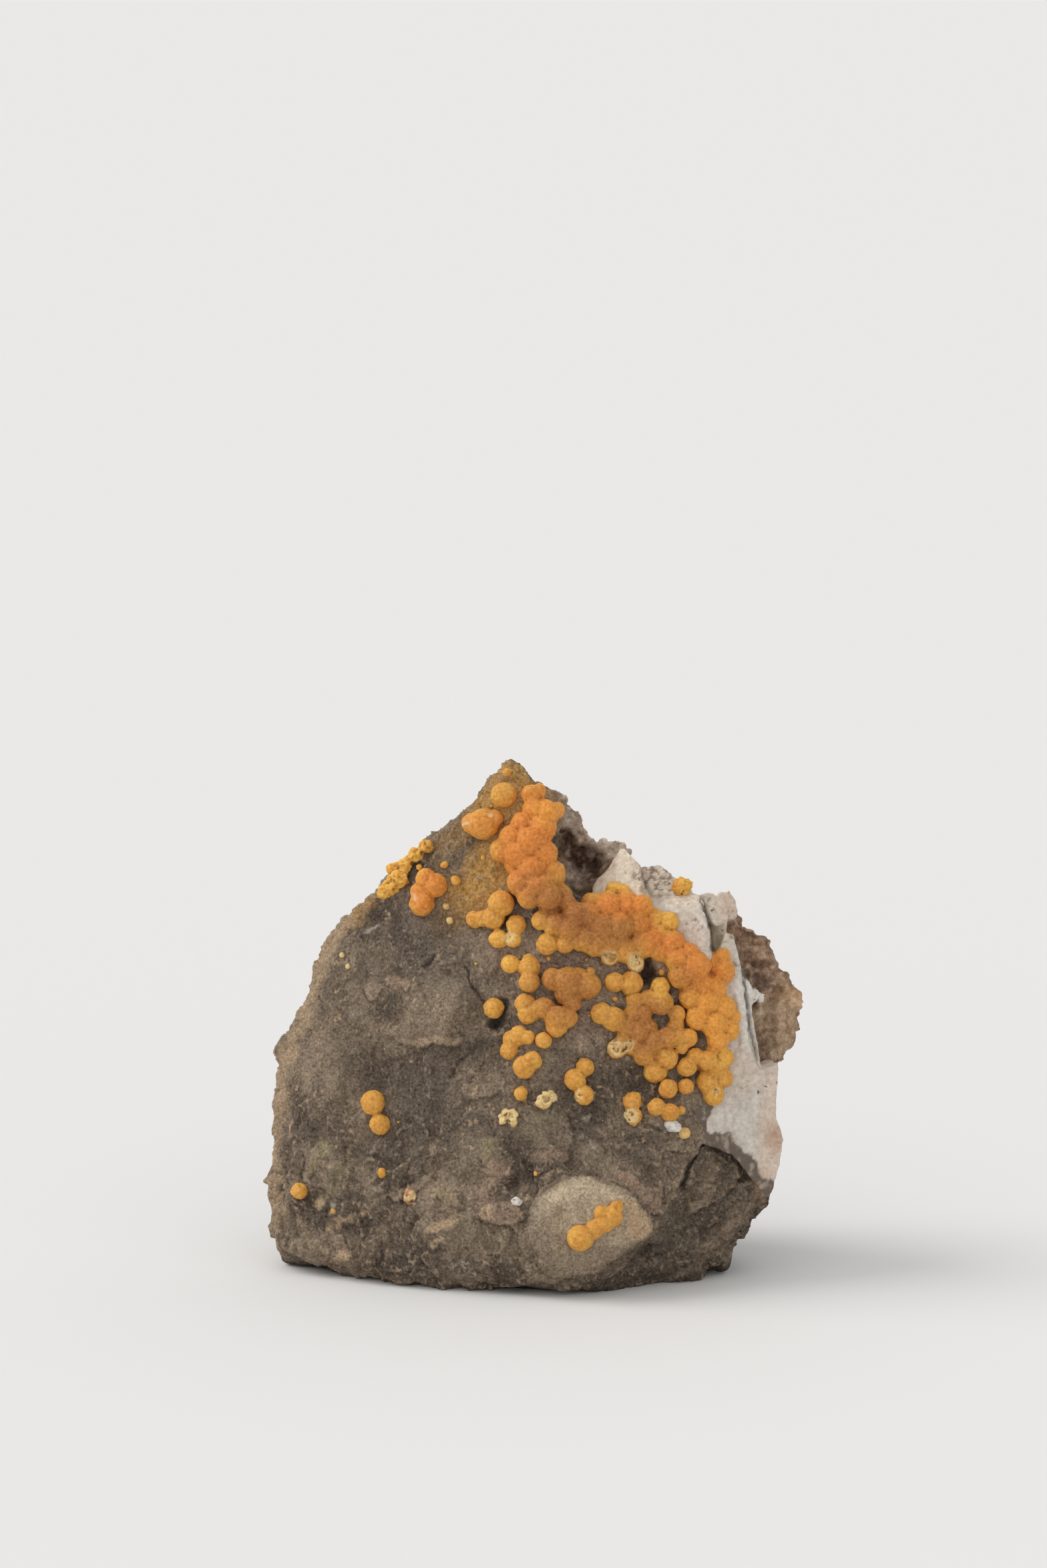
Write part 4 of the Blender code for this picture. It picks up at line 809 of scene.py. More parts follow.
def pattern(tree, place, size_mm, detail, rough):
    """Noise whose largest waves have this size."""
    made = node(tree, "ShaderNodeTexNoise",
                {"Vector": place, "Scale": 1.0 / (size_mm * MM), "Detail": detail, "Roughness": rough})
    return made.outputs["Fac"]


def ramp(tree, factor, low, high):
    """Stretch part of a range to 0 to 1."""
    made = node(tree, "ShaderNodeMapRange",
                {"Value": factor, "From Min": low, "From Max": high, "To Min": 0.0, "To Max": 1.0})
    return made.outputs["Result"]


def mix(tree, factor, first, second, blend="MIX"):
    made = node(tree, "ShaderNodeMix", data_type="RGBA", blend_type=blend)
    for index, value in ((0, factor), (6, first), (7, second)):
        if isinstance(value, bpy.types.NodeSocket):
            tree.links.new(value, made.inputs[index])
        else:
            made.inputs[index].default_value = value
    return made.outputs[2]


def two_tones(tree, cloud, dark, light, stain):
    """A cloudy base in two tones, with the painted stains laid over it."""
    base = mix(tree, cloud, tuple(dark), tuple(light))
    return mix(tree, stain.outputs["Alpha"], base, stain.outputs["Color"])


def grained(tree, colour, grain, shade, tint, share):
    """Shade a colour in the hollows of a grain, and tint a share of it on the tops."""
    dark = mix(tree, 1.0, colour, colour_of(shade), "MULTIPLY")
    light = mix(tree, share, colour, colour_of(tint))
    return mix(tree, grain, dark, light)


def surface(tree, colour, bump_height, bump_mm, **values):
    """The shader itself, with a bump of the given height."""
    bump = node(tree, "ShaderNodeBump", {"Height": bump_height, "Distance": bump_mm * MM, "Strength": 1.0})
    shader = node(tree, "ShaderNodeBsdfPrincipled", {"Base Color": colour, "Normal": bump.outputs["Normal"]})
    for name, value in values.items():
        shader.inputs[name.replace("_", " ")].default_value = value
    node(tree, "ShaderNodeOutputMaterial", {"Surface": shader.outputs["BSDF"]})


def limestone_material(settings):
    """Fine-grained limestone, broken by hand: matte, mottled grey-brown with pale grains."""
    material, tree, place, stain = new_material("broken_limestone")
    mottle = ramp(tree, pattern(tree, place, 6.0, 6.0, 0.62), 0.38, 0.62)
    stained = two_tones(tree, mottle, settings.rock_dark, settings.rock_light, stain)
    # Grain of 0.3 mm: lighter and darker specks over everything
    grain = ramp(tree, pattern(tree, place, 0.30, 3.0, 0.7), 0.30, 0.70)
    coloured = grained(tree, stained, grain, "#AAA198", "#FFF4E6", 0.10)
    specks = ramp(tree, pattern(tree, place, 0.60, 2.0, 0.5), 0.70, 0.76)
    speckled = mix(tree, specks, coloured, colour_of("#A3937D"))
    height = pattern(tree, place, 1.3, 8.0, 0.7)
    surface(tree, speckled, height, settings.rock_relief / MM, Roughness=0.9, IOR=1.5,
            Specular_IOR_Level=0.15)
    return material


def calcite_material(settings):
    """Massive calcite, broken: satin white to cream, a little light passes in, brown specks."""
    material, tree, place, stain = new_material("massive_calcite")
    cloud = ramp(tree, pattern(tree, place, 3.0, 5.0, 0.6), 0.35, 0.65)
    stained = two_tones(tree, cloud, settings.calcite_grey, settings.calcite_white, stain)
    grain = ramp(tree, pattern(tree, place, 0.6, 4.0, 0.7), 0.30, 0.70)
    coloured = grained(tree, stained, grain, "#CFC8C0", "#FFFFFF", 0.0)
    # Iron specks of about 0.3 mm, gathered in patches
    spots = ramp(tree, pattern(tree, place, 0.55, 2.0, 0.5), 0.66, 0.71)
    patches = ramp(tree, pattern(tree, place, 3.4, 1.0, 0.5), 0.50, 0.62)
    both = node(tree, "ShaderNodeMath", {0: spots, 1: patches}, operation="MULTIPLY").outputs[0]
    speckled = mix(tree, both, coloured, colour_of("#6E5038"))
    height = pattern(tree, place, 0.9, 7.0, 0.65)
    surface(tree, speckled, height, settings.calcite_relief / MM, Roughness=0.55, IOR=1.6,
            Subsurface_Weight=0.15, Subsurface_Radius=(0.0008, 0.0007, 0.0005), Subsurface_Scale=1.0)
    return material


def gossan_material(settings):
    """Gossan, an iron-stained porous druse: matte brown hollows with sugary grey grains."""
    material, tree, place, stain = new_material("porous_gossan")
    cloud = ramp(tree, pattern(tree, place, 2.4, 6.0, 0.65), 0.36, 0.64)
    stained = two_tones(tree, cloud, settings.gossan_dark, settings.gossan_light, stain)
    grain = ramp(tree, pattern(tree, place, 0.6, 5.0, 0.75), 0.34, 0.66)
    coloured = grained(tree, stained, grain, "#B5A598", "#EEDCC8", 0.14)
    height = pattern(tree, place, 0.9, 8.0, 0.75)
    surface(tree, coloured, height, settings.gossan_relief / MM, Roughness=0.85, IOR=1.55,
            Specular_IOR_Level=0.2)
    return material


def mimetite_material(settings):
    """Mimetite in radiating balls: a waxy, finely granular skin that light sinks into a little."""
    material, tree, place, stain = new_material("botryoidal_mimetite")
    cloud = ramp(tree, pattern(tree, place, 2.0, 3.0, 0.5), 0.35, 0.65)
    stained = two_tones(tree, cloud, settings.mimetite_honey, settings.mimetite_orange, stain)
    # The real grain is about 0.05 mm, drawn at 0.35 mm so that it shows
    grain = ramp(tree, pattern(tree, place, 0.35, 3.0, 0.65), 0.30, 0.70)
    coloured = grained(tree, stained, grain, "#DCCBB8", "#FFE9C0", 0.12)
    height = pattern(tree, place, 0.35, 4.0, 0.6)
    surface(tree, coloured, height, settings.mimetite_relief / MM, Roughness=0.6, IOR=2.1,
            Specular_IOR_Level=0.08, Subsurface_Weight=0.5,
            Subsurface_Radius=(0.0009, 0.0006, 0.0003), Subsurface_Scale=1.0)
    return material


def studio_material(settings):
    """Matte studio paper: plain, pale and even."""
    material = bpy.data.materials.new("studio_paper")
    material.use_nodes = True
    tree = material.node_tree
    tree.nodes.clear()
    shader = node(tree, "ShaderNodeBsdfPrincipled",
                  {"Base Color": tuple(settings.paper), "Roughness": 0.9, "Specular IOR Level": 0.1})
    node(tree, "ShaderNodeOutputMaterial", {"Surface": shader.outputs["BSDF"]})
    return material


def hex_property(name, description, code):
    return FloatVectorProperty(name=name, description=description, subtype="COLOR", size=4,
                               min=0.0, max=1.0, default=colour_of(code))


def relief_property(name, description, height):
    return FloatProperty(name=name, description=description, default=height, min=0.0, max=0.002,
                         unit="LENGTH", precision=5)


def light_property(name, description, strength):
    return FloatProperty(name=name, description=description, default=strength, min=0.0, max=20.0)


class MimetiteSpecimenSettings(PropertyGroup):
    """Sizes and colours of the specimen that a user would change."""

    rock_dark: hex_property("Rock, dark", "Darker parts of the host rock", "#564637")
    rock_light: hex_property("Rock, light", "Lighter parts of the host rock", "#B29E86")
    rock_relief: relief_property("Rock grain", "Height of the fine grain of the rock", 0.0007)
    calcite_white: hex_property("Calcite, white", "Cleaner parts of the calcite", "#EDE6DC")
    calcite_grey: hex_property("Calcite, grey", "Duller parts of the calcite", "#D4CABE")
    calcite_relief: relief_property("Calcite grain", "Height of the calcite's fine relief", 0.00015)
    gossan_dark: hex_property("Gossan, dark", "Hollows of the gossan", "#8A6A50")
    gossan_light: hex_property("Gossan, light", "Grains of the gossan", "#C8A98A")
    gossan_relief: relief_property("Gossan grain", "Height of the gossan's fine relief", 0.00035)
    mimetite_honey: hex_property("Mimetite, honey", "Yellower balls", "#E7B047")
    mimetite_orange: hex_property("Mimetite, orange", "More orange balls", "#E1A13D")
    mimetite_relief: relief_property("Mimetite grain", "Height of the balls' fine grain", 0.00008)


class StudioSettings(PropertyGroup):
    """Floor and light round the specimen."""

    paper: hex_property("Paper", "Colour of the floor and backdrop", "#E9E8E6")
    fill: light_property("Fill light", "Strength of the even light from all round", 0.66)
    key: light_property("Key light", "Strength of the soft light at the upper left", 1.15)
    front: light_property("Front light", "Strength of the very soft light in front", 0.45)


def rock_relief(places, facing):
    """Height of the front's flakes, cracks and pits, and masks of the painted highlight on its lips and the
    painted shade along its feet and cracks.
    """
    u, v = wobbled(places, 0.35, 1.6)
    wide_u, wide_v = wobbled(places + 80.0, 0.9, 3.5)
    height = np.zeros(len(u))
    lit_lips = np.zeros(len(u))
    shade_lines = np.zeros(len(u))
    for at_u, at_v, half_u, half_v, turn, rise, edge in FLAKES:
        flake_u, flake_v = 0.5 * (u + wide_u), 0.5 * (v + wide_v)
        size = min(half_u, half_v)
        past_rim = (oval(flake_u, flake_v, at_u, at_v, half_u, half_v, turn) - 1.0) * size
        across = math.radians(edge)
        toward = (flake_u - at_u) * math.cos(across) + (flake_v - at_v) * math.sin(across)
        broken = ease(0.5 + toward / (2.2 * size))
        height += FLAKE_GAIN * rise * broken * (1.0 - ease((past_rim + 0.10) / 0.20))
        crisp = ease((broken - 0.45) / 0.3) * min(1.0, abs(rise) / 0.45)
        lit_lips = np.maximum(lit_lips, crisp * np.exp(-((past_rim + 0.28) / 0.20) ** 2))
        shade_lines = np.maximum(shade_lines, 0.30 * crisp * np.exp(-((past_rim - 0.18) / 0.16) ** 2))
    fine_u, fine_v = wobbled(places, 0.28, 0.9)
    for _, _, rise, outline in SCALES:
        depth = within(fine_u, fine_v, outline)
        low, high = min(point[1] for point in outline), max(point[1] for point in outline)
        # Raised scales are broken off along their lower side, sunk ones along their upper side
        broken = ease((high - fine_v) / (high - low) if rise > 0.0 else (fine_v - low) / (high - low))
        height += FLAKE_GAIN * rise * ease((depth + 0.12) / 0.24) * (0.3 + 0.7 * broken)
        lit_lips = np.maximum(lit_lips, min(1.0, rise / 0.4) * broken * np.exp(-((depth - 0.25) / 0.20) ** 2))
        shade_lines = np.maximum(shade_lines, 0.45 * min(1.0, abs(rise) / 0.3) * broken
                           * np.exp(-((depth + 0.16) / 0.14) ** 2))
    for rise, reach, points in LEDGES:
        distance, side, taper = along_line(u, v, points)
        high = ease((side + 0.12) / 0.24)
        fall = np.exp(-distance / reach)
        height += rise * taper * fall * high
        lit_lips = np.maximum(lit_lips, taper * high * np.exp(-distance / 0.45) * min(1.0, rise / 0.4))
        shade_lines = np.maximum(shade_lines, 0.3 * taper * (1.0 - high) * np.exp(-distance / 0.30))
    for depth, half_width, points in CRACKS:
        distance, _, taper = along_line(u, v, points)
        groove = taper * (1.0 - ease(distance / (2.0 * half_width)))
        height -= depth * groove
        shade_lines = np.maximum(shade_lines, groove * min(1.0, 0.35 + depth))
    for at_u, at_v, half_u, half_v, depth in PITS:
        height -= depth * (1.0 - ease(oval(u, v, at_u, at_v, half_u, half_v) - 0.3))
    return height * facing, lit_lips * facing, shade_lines * facing


def make_host_rock():
    """The limestone slab, cut from the frame's own rock and broken in steps."""
    rock = node_on_sheet("host_rock", "limestone_slab")
    remesh(rock, ROCK_VOXEL)
    relax(rock, 3)
    thin_back(rock, KEPT_SHARE)
    mesh = rock.data
    places = positions(mesh)
    out = normals(mesh)
    facing = ease((out[:, 2] - 0.25) / 0.4)
    relief, lit_lips, shade_lines = rock_relief(places, facing)
    # Flakes broken off in steps, in sheets that follow the face
    flat = places * np.array((1.0, 1.0, 1.6))
    flat[:, :2] += np.stack(wobbled(places, 0.9, 2.6), axis=1) - places[:, :2]
    plates = terraces(fractal(flat, 8.0, 4), 2.2) * 0.95 * 0.75
    chips = terraces(fractal(flat + 50.0, 2.4, 3), 2.4) * 0.52
    shells = 0.75 * facets(flat, 5.2) + 0.30 * facets(flat + 20.0, 2.2)
    # The upper face and the pale lens, which is the first scale, are calmer
    in_lens = ease(within(places[:, 0], places[:, 1], SCALES[0][3]) + 0.5)
    calmer = facing * np.maximum(0.40 * ease((places[:, 1] - 12.0) / 8.0), 0.6 * in_lens)
    height = ROCK_SWELL + (1.0 - calmer) * (plates + chips + shells) + 0.09 * fractal(places, 0.9, 3)
    places = places + out * height[:, None]
    places[:, 2] += relief
    # The underside drops away behind the front edge until it nearly meets the floor
    turned = np.array(SHEET.to_3x3())
    origin = np.array(SHEET.translation)
    world = places @ turned.T + origin
    downward = -(out @ turned.T)[:, 2] / MM
    lane = np.clip(np.round(places[:, 0]) + LANES, 0, 2 * LANES).astype(int)
    rim = np.full(2 * LANES + 1, FAR_BACK)
    low_down = (downward > 0.5) & (world[:, 2] < 5.0 * MM)
    np.maximum.at(rim, lane[low_down], places[low_down, 2])
    behind_rim = np.interp(places[:, 0], np.arange(2 * LANES + 1) - LANES, rim) - places[:, 2]
    under = ease((downward - 0.4) / 0.3) * ease((behind_rim - RIM_WIDTH) / 1.5)
    world[:, 2] *= 1.0 - UNDERSIDE_DROP * under * (1.0 - ease((world[:, 2] / MM - 3.0) / 3.0))
    world[:, 2] = np.maximum(world[:, 2], 0.0)
    back = np.array(SHEET.to_3x3().inverted())
    places = (world - origin) @ back.T
    move_to(mesh, places)

    paint = Paint(mesh, SLATE_COLOURS)
    u, v = wobbled(places, 0.9, 2.4)
    front = ease((out[:, 2] + 0.1) / 0.4)
    # Painted light: faces turned to the left, toward the light, are painted paler
    lit_left_faces = ease((-out[:, 0] - 0.45 + 0.25 * fractal(places, 6.0, 3)) / 0.25) * (1.0 - front)
    paint.lay("rim_light", 0.75 * lit_left_faces)
    fine_u, fine_v = wobbled(places, 0.25, 1.2)
    # Painted shade on the lower right, which steps back and faces down, away from the light
    side = along_line(fine_u, fine_v, SHADED_SIDE)[1]
    paint.lay("shade_and_dark_stain", 0.62 * front * ease((side + 0.1) / 0.3) * ease((19.0 - fine_v) / 1.5))
    paint.stains(u, v, ROCK_STAINS, front)
    edge_u, edge_v = wobbled(places, 0.28, 0.9)
    cloudy = 0.70 + 0.30 * ease((fractal(places, 2.0, 3) + 0.3) / 0.6)
    for name, cover, rise, outline in SCALES:
        mask = front * cover * cloudy * ease((within(edge_u, edge_v, outline) + 0.12) / 0.28)
        if rise < 0.0:
            low, high = min(point[1] for point in outline), max(point[1] for point in outline)
            mask *= 0.1 + 0.9 * ease((edge_v + 0.45 * edge_u - low) / (high - low))
        paint.lay(name, mask)
    flecks = ease((fractal(places + 5.0, 0.7, 2) - 0.42) / 0.10)
    paint.lay("tan", 0.6 * front * flecks * ease((fractal(places + 31.0, 5.0, 2) + 0.1) / 0.3))
    grains = ease((fractal(places, 0.45, 2) - 0.22) / 0.12)
    paint.lay("spark", grains * (1.0 - ease(oval(u, v, -8.3, 3.2, 1.4, 1.0) - 0.5)))
    paint.strokes(u, v, ROCK_STROKES, ease((out[:, 2] + 0.6) / 0.6))
    # Painted highlight on the raised places and painted shade in the low places
    patchy = ease((fractal(places, 1.4, 2) + 0.5) / 0.7)
    raised = crests(mesh, height + relief, 4)
    paint.lay("lip_highlight", 0.85 * patchy * ease((raised - 0.025) / 0.07))
    paint.lay("shade_and_dark_stain", 0.30 * ease((-raised - 0.03) / 0.10))
    # Painted highlight on the lips of the flakes and painted shade along their feet and in the cracks
    paint.lay("lip_highlight", lit_lips * (0.35 + 0.6 * patchy))
    paint.lay("crevice_shade", shade_lines * 0.9)
    # Painted shade on the underside behind the front edge
    paint.lay("crevice_shade", 0.9 * under)
    paint.write()
    return rock


def make_calcite():
    """The calcite blocks with their seams, and the rock that laps over their foot."""
    calcite = block_body("calcite_blocks", CALCITE_BLOCKS, CALCITE_TAPER, VEIN_VOXEL)
    relax(calcite, 2)
    mesh = calcite.data
    places = positions(mesh)
    out = normals(mesh)
    # Sugary on the speckled lump, cleaner on the broken faces
    sugary = 1.0 - ease((oval(places[:, 0], places[:, 1], 14.0, 46.2, 3.4, 2.4) - 0.7) / 0.5)
    height = 0.10 * facets(places, 2.8) + 0.08 * fractal(places, 2.0, 3) + 0.04 * fractal(places, 0.7, 2)
    height += sugary * 0.35 * fractal(places, 0.8, 3)
    places = places + out * height[:, None]
    facing = ease((out[:, 2] - 0.1) / 0.4)
    u, v = wobbled(places, 0.25, 1.4)
    for depth, half_width, points in CALCITE_CRACKS:
        distance, _, taper = along_line(u, v, points)
        places[:, 2] -= depth * facing * taper * (1.0 - ease(distance / (2.0 * half_width)))
    move_to(mesh, places)

    paint = Paint(mesh, CALCITE_COLOURS)
    front = ease((out[:, 2] + 0.3) / 0.5)
    paint.stains(u, v, CALCITE_STAINS, front)
    paint.strokes(u, v, CALCITE_STROKES, front)
    spots = sugary * ease((fractal(places, 0.55, 2) - 0.12) / 0.12)
    paint.lay("fleck", 0.75 * spots)
    ragged_u, ragged_v = wobbled(places, 0.9, 1.6)
    lapped = ease((within(ragged_u, ragged_v, LAP) + 0.1) / 0.3)
    # The rock laps over the far side too, where the block would end in a straight edge
    behind = ease((-places[:, 2] - 12.6 + 2.2 * fractal(places, 4.0, 3)) / 0.4)
    below = ease((14.6 - places[:, 1] + 1.4 * fractal(places + 11.0, 3.0, 3)) / 0.4)
    far_side = np.maximum(behind, below * ease(-places[:, 2] - 7.0))
    lapped = np.maximum(lapped, far_side * ease(25.0 - places[:, 1]))
    paint.lay("stone", 0.98 * lapped)
    paint.lay("drab", 0.35 * lapped * ease((fractal(places, 0.8, 3) - 0.1) / 0.3))
    gathered = ease((fractal(places + 9.0, 2.4, 2) - 0.05) / 0.2)
    mottled = ease(places[:, 0] - 13.0) * gathered * ease((fractal(places, 0.5, 2) - 0.34) / 0.10)
    paint.lay("fleck", 0.7 * front * mottled * ease((places[:, 1] - 34.0) / 2.0))
    paint.write()
    return calcite


def make_gossan():
    """The porous gossan behind the calcite, hollowed where the notch and the wing are."""
    gossan = block_body("gossan_druse", GOSSAN_BLOCKS, GOSSAN_TAPER, GOSSAN_VOXEL)
    relax(gossan, 3)
    mesh = gossan.data
    places = positions(mesh)
    out = normals(mesh)
    holes = np.array([noise.voronoi(place)[0][0] for place in (places / 1.5).tolist()])
    height = 0.7 * fractal(places, 3.2, 3) + 0.9 * (0.42 - holes) + 0.30 * fractal(places, 0.8, 3)
    places = places + out * height[:, None]
    facing = ease(out[:, 2] / 0.4)
    for at_u, at_v, half_u, half_v, depth in GOSSAN_PITS:
        reach = oval(places[:, 0], places[:, 1], at_u, at_v, half_u, half_v)
        places[:, 2] -= depth * facing * (1.0 - ease(reach - 0.3))
    move_to(mesh, places)

    paint = Paint(mesh, GOSSAN_COLOURS)
    u, v = wobbled(places, 0.8, 1.4)
    paint.stains(u, v, GOSSAN_STAINS, ease((out[:, 2] + 0.7) / 0.5))
    raised = crests(mesh, height, 8)
    paint.lay("sugar", 0.55 * ease((raised - 0.03) / 0.14))
    # Painted shade in the gossan's hollows
    paint.lay("pit_shade", 0.35 * ease((-raised - 0.06) / 0.20))
    paint.write()
    return gossan


def with_fillers(balls):
    """The balls with their lift, and a deeper, smaller one in the crease between each two."""
    more = [(*ball, BALL_LIFT) for ball in balls]
    for index, (u, v, diameter) in enumerate(balls):
        for other_u, other_v, other_diameter in balls[index + 1:]:
            apart = math.hypot(other_u - u, other_v - v)
            if apart < 0.62 * (diameter + other_diameter):
                small = 0.66 * min(diameter, other_diameter)
                more.append(((u + other_u) / 2, (v + other_v) / 2, small, 0.0))
    return more


def make_balls(name, balls, height_at, broken=0.0, fused=False):
    """Balls grown into one another, with a granular skin and the broken ones opened."""
    ball = bmesh.new()
    bmesh.ops.create_icosphere(ball, subdivisions=4, radius=1.0)
    one = bpy.data.meshes.new("one_ball")
    ball.to_mesh(one)
    ball.free()
    shape = bmesh.new()
    for u, v, diameter, lift in with_fillers(balls) if fused else [(*each, BALL_LIFT) for each in balls]:
        radius = diameter / 2 * BALL_GROWTH
        copy = one.copy()
        copy.transform(Matrix.Translation((u, v, height_at(u, v) + lift * radius)) @ Matrix.Scale(radius, 4))
        shape.from_mesh(copy)
        bpy.data.meshes.remove(copy)
    bpy.data.meshes.remove(one)
    cluster = object_from_bmesh(name, shape)
    remesh(cluster, BALL_VOXEL)
    relax(cluster, 4 if fused else 3)
    mesh = cluster.data
    places = positions(mesh)
    out = normals(mesh)
    height = 0.12 * fractal(places, 1.2, 3) + 0.055 * fractal(places, 0.4, 2)
    if broken:
        height += broken * (fractal(places, 0.7, 3) + facets(places, 0.8))
    places = places + out * height[:, None]
    pale = np.zeros(len(places))
    for at_u, at_v, radius, depth in CRATERS:
        reach = np.hypot(places[:, 0] - at_u, places[:, 1] - at_v) / radius
        bite = fractal(places, 0.9, 3)
        open_part = (1.0 - ease((reach + 0.7 * bite - 0.5) / 0.5)) * (out[:, 2] > 0.0)
        places[:, 2] -= depth * (0.6 + 1.2 * np.abs(bite)) * open_part
        pale = np.maximum(pale, (1.0 - ease(reach + 0.5 * bite - 0.8)) * 0.75)
    move_to(mesh, places)

    paint = Paint(mesh, MIMETITE_COLOURS)
    u, v = wobbled(places, 0.3, 1.2)
    paint.stains(u, v, MIMETITE_STAINS, np.ones(len(u)))
    raised = bulges(mesh, places, out, 10)
    # Painted shade in the creases between the balls
    paint.lay("crease", 0.75 * ease((-raised - 0.01) / 0.07))
    paint.lay("pale", pale * ease((fractal(places, 0.5, 2) + 0.35) / 0.5))
    paint.write()
    return cluster


def make_chip(name, chip, height_at):
    """A loose-looking crumb of white calcite."""
    u, v, width, tall = chip
    shape = bmesh.new()
    place = (Matrix.Translation((u, v, height_at(u, v) + CHIP_LIFT)) @ Matrix.Rotation(-0.4, 4, "Z")
             @ Matrix.Diagonal((width / 2, tall / 2, tall / 2, 1.0)))
    bmesh.ops.create_icosphere(shape, subdivisions=5, radius=1.0, matrix=place)
    made = object_from_bmesh(name, shape)
    places = positions(made.data)
    out = normals(made.data)
    height = 0.35 * facets(places, 0.7) + 0.08 * fractal(places, 0.5, 2)
    move_to(made.data, places + out * height[:, None])
    paint = Paint(made.data, CALCITE_COLOURS)
    paint.lay("chalk", np.full(len(out), 1.0))
    paint.write()
    return made


def ground_pieces():
    """The slab, the calcite and the gossan, which have to be there first."""
    pieces = [bpy.data.objects.get(name) for name in ("limestone_slab", "calcite_blocks", "gossan_druse")]
    if None in pieces:
        raise RuntimeError("Build the host rock, the calcite vein and the gossan first")
    return pieces


class SPECIMEN_OT_host_rock(Operator):
    """Build the broken limestone slab that carries everything else"""

    bl_idname = "specimen.host_rock"
    bl_label = "Host rock"

    def execute(self, context):
        if "host_rock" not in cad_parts:
            raise RuntimeError("The frame has no host_rock to build on")
        check_made(make_host_rock())
        return {"FINISHED"}


class SPECIMEN_OT_calcite(Operator):
    """Build the white calcite blocks along the upper right side"""

    bl_idname = "specimen.calcite"
    bl_label = "Calcite vein"

    def execute(self, context):
        check_made(make_calcite())
        return {"FINISHED"}


class SPECIMEN_OT_gossan(Operator):
    """Build the porous brown gossan behind the calcite"""

    bl_idname = "specimen.gossan"
    bl_label = "Gossan"

    def execute(self, context):
        check_made(make_gossan())
        return {"FINISHED"}


class SPECIMEN_OT_mimetite(Operator):
    """Grow the crust and the clusters of mimetite balls on the surfaces below them"""

    bl_idname = "specimen.mimetite"
    bl_label = "Mimetite balls"

    def execute(self, context):
        settings = context.scene.mimetite_specimen
        height_at = surface_reader(ground_pieces())
        material = mimetite_material(settings)
        for name, balls in MIMETITE.items():
            cluster = make_balls(name + "_balls", balls, height_at, ROUGHER.get(name, 0.0),
                                 name == "crust")
            finish_piece(cluster, material, "mimetite", "mimetite_" + name)
        beads = make_balls("small_beads", SMALL_BEADS, height_at)
        finish_piece(beads, material, "mimetite")
        return {"FINISHED"}


class SPECIMEN_OT_chips(Operator):
    """Lay the two loose-looking crumbs of calcite on the rock"""

    bl_idname = "specimen.chips"
    bl_label = "Calcite chips"

    def execute(self, context):
        height_at = surface_reader(ground_pieces())
        material = calcite_material(context.scene.mimetite_specimen)
        material.name = "white_calcite_chip"
        for name, chip in CHIPS.items():
            finish_piece(make_chip(name + "_crumb", chip, height_at), material, "calcite", name)
        return {"FINISHED"}


class SPECIMEN_OT_finish(Operator):
    """Give the rock, the vein and the gossan their finishes and put them in the frame"""

    bl_idname = "specimen.finish"
    bl_label = "Finish the ground"

    def execute(self, context):
        settings = context.scene.mimetite_specimen
        rock, calcite, gossan = ground_pieces()
        finish_piece(rock, limestone_material(settings), "host_rock", "host_rock")
        finish_piece(calcite, calcite_material(settings), "calcite", "calcite_vein")
        finish_piece(gossan, gossan_material(settings), "gossan", "vuggy_gossan")
        return {"FINISHED"}


class SPECIMEN_OT_stage(Operator):
    """Set up the floor with its backdrop, the soft light and the camera"""

    bl_idname = "specimen.stage"
    bl_label = "Studio"

    def execute(self, context):
        studio = context.scene.mimetite_studio
        make_floor(studio)
        make_lights(studio)
        make_camera()
        if context.scene.camera is None:
            raise RuntimeError("The camera isn't set")
        return {"FINISHED"}


class SPECIMEN_PT_panel(Panel):
    """Lists the specimen's sizes, colours and steps"""

    bl_label = "Mimetite specimen"
    bl_idname = "SPECIMEN_PT_panel"
    bl_space_type = "VIEW_3D"
    bl_region_type = "UI"
    bl_category = "Mimetite"

    def draw(self, context):
        for group in (context.scene.mimetite_specimen, context.scene.mimetite_studio):
            for name in group.__annotations__:
                self.layout.prop(group, name)
        for step in STEPS:
            self.layout.operator(step.bl_idname)


def make_floor(studio):
    """A long floor that curves up into a backdrop far behind, in one sheet of paper."""
    shape = bmesh.new()
    profile = [(FLOOR_FRONT, 0.0), (FLOOR_BACK, 0.0)]
    for step in range(1, BEND_STEPS + 1):
        angle = math.pi / 2 * step / BEND_STEPS
        profile.append((FLOOR_BACK + BEND_RADIUS * math.sin(angle), BEND_RADIUS * (1.0 - math.cos(angle))))
    corners = [shape.verts.new((-FLOOR_HALF, y, z)) for y, z in profile]
    edges = [shape.edges.new(pair) for pair in zip(corners, corners[1:])]
    made = bmesh.ops.extrude_edge_only(shape, edges=edges)["geom"]
    moved = [item for item in made if isinstance(item, bmesh.types.BMVert)]
    bmesh.ops.translate(shape, verts=moved, vec=(2.0 * FLOOR_HALF, 0.0, 0.0))
    bmesh.ops.recalc_face_normals(shape, faces=shape.faces)
    floor = object_from_bmesh("studio_floor", shape)
    floor.data.shade_smooth()
    floor.data.materials.append(studio_material(studio))


def aim(thing, target):
    thing.rotation_euler = (Vector(target) - thing.location).to_track_quat("-Z", "Y").to_euler()


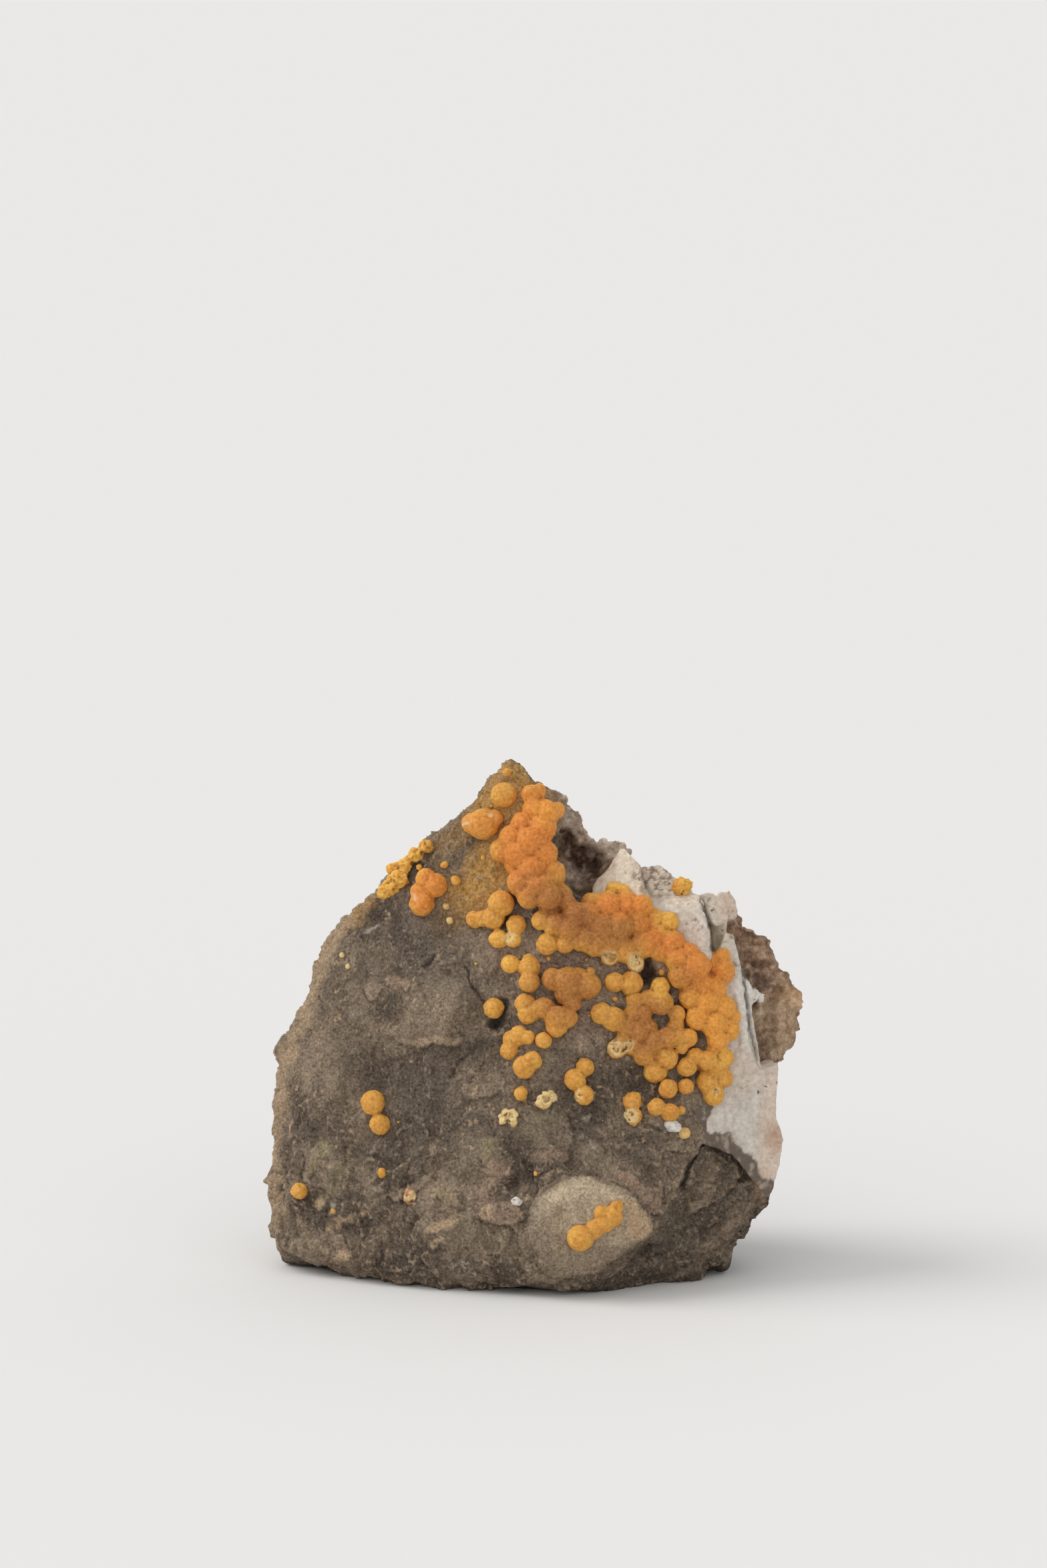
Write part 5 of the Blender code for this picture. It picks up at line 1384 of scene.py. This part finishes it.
def add_soft_light(name, place, strength, spread_degrees):
    light = bpy.data.lights.new(name, "SUN")
    light.energy = strength
    light.angle = math.radians(spread_degrees)
    lamp = bpy.data.objects.new(name, light)
    bpy.context.scene.collection.objects.link(lamp)
    lamp.location = place
    aim(lamp, (0.0, 0.0, 0.0))


def make_lights(studio):
    world = bpy.data.worlds.new("studio_air")
    bpy.context.scene.world = world
    world.use_nodes = True
    shade = world.node_tree.nodes["Background"]
    shade.inputs["Color"].default_value = colour_of("#FFFFFF")
    shade.inputs["Strength"].default_value = studio.fill
    add_soft_light("soft_key", (-1.1, 0.05, 1.1), studio.key, 36.0)
    add_soft_light("front_fill", (-0.5, -1.0, 0.9), studio.front, 100.0)
    bpy.context.scene.view_settings.view_transform = "Standard"


def make_camera():
    data = bpy.data.cameras.new("camera")
    data.sensor_width = SENSOR
    data.lens = SENSOR * (CAMERA_PLACE[2] - CAMERA_AIM[2]) / FRAME_HEIGHT
    data.clip_start = 0.05
    camera = bpy.data.objects.new("camera", data)
    bpy.context.scene.collection.objects.link(camera)
    camera.location = SHEET @ Vector(CAMERA_PLACE)
    aim(camera, SHEET @ Vector(CAMERA_AIM))
    bpy.context.scene.camera = camera


STEPS = (
    SPECIMEN_OT_host_rock, SPECIMEN_OT_calcite, SPECIMEN_OT_gossan, SPECIMEN_OT_mimetite,
    SPECIMEN_OT_chips, SPECIMEN_OT_finish, SPECIMEN_OT_stage,
)
CLASSES = (MimetiteSpecimenSettings, StudioSettings, *STEPS, SPECIMEN_PT_panel)


def register():
    for made in CLASSES:
        bpy.utils.register_class(made)
    bpy.types.Scene.mimetite_specimen = PointerProperty(type=MimetiteSpecimenSettings)
    bpy.types.Scene.mimetite_studio = PointerProperty(type=StudioSettings)


def unregister():
    del bpy.types.Scene.mimetite_studio
    del bpy.types.Scene.mimetite_specimen
    for made in reversed(CLASSES):
        bpy.utils.unregister_class(made)


def main():
    noise.seed_set(SEED)
    register()
    bpy.ops.specimen.host_rock()
    bpy.ops.specimen.calcite()
    bpy.ops.specimen.gossan()
    bpy.ops.specimen.mimetite()
    bpy.ops.specimen.chips()
    bpy.ops.specimen.finish()
    bpy.ops.specimen.stage()


if __name__ == "__main__":
    main()
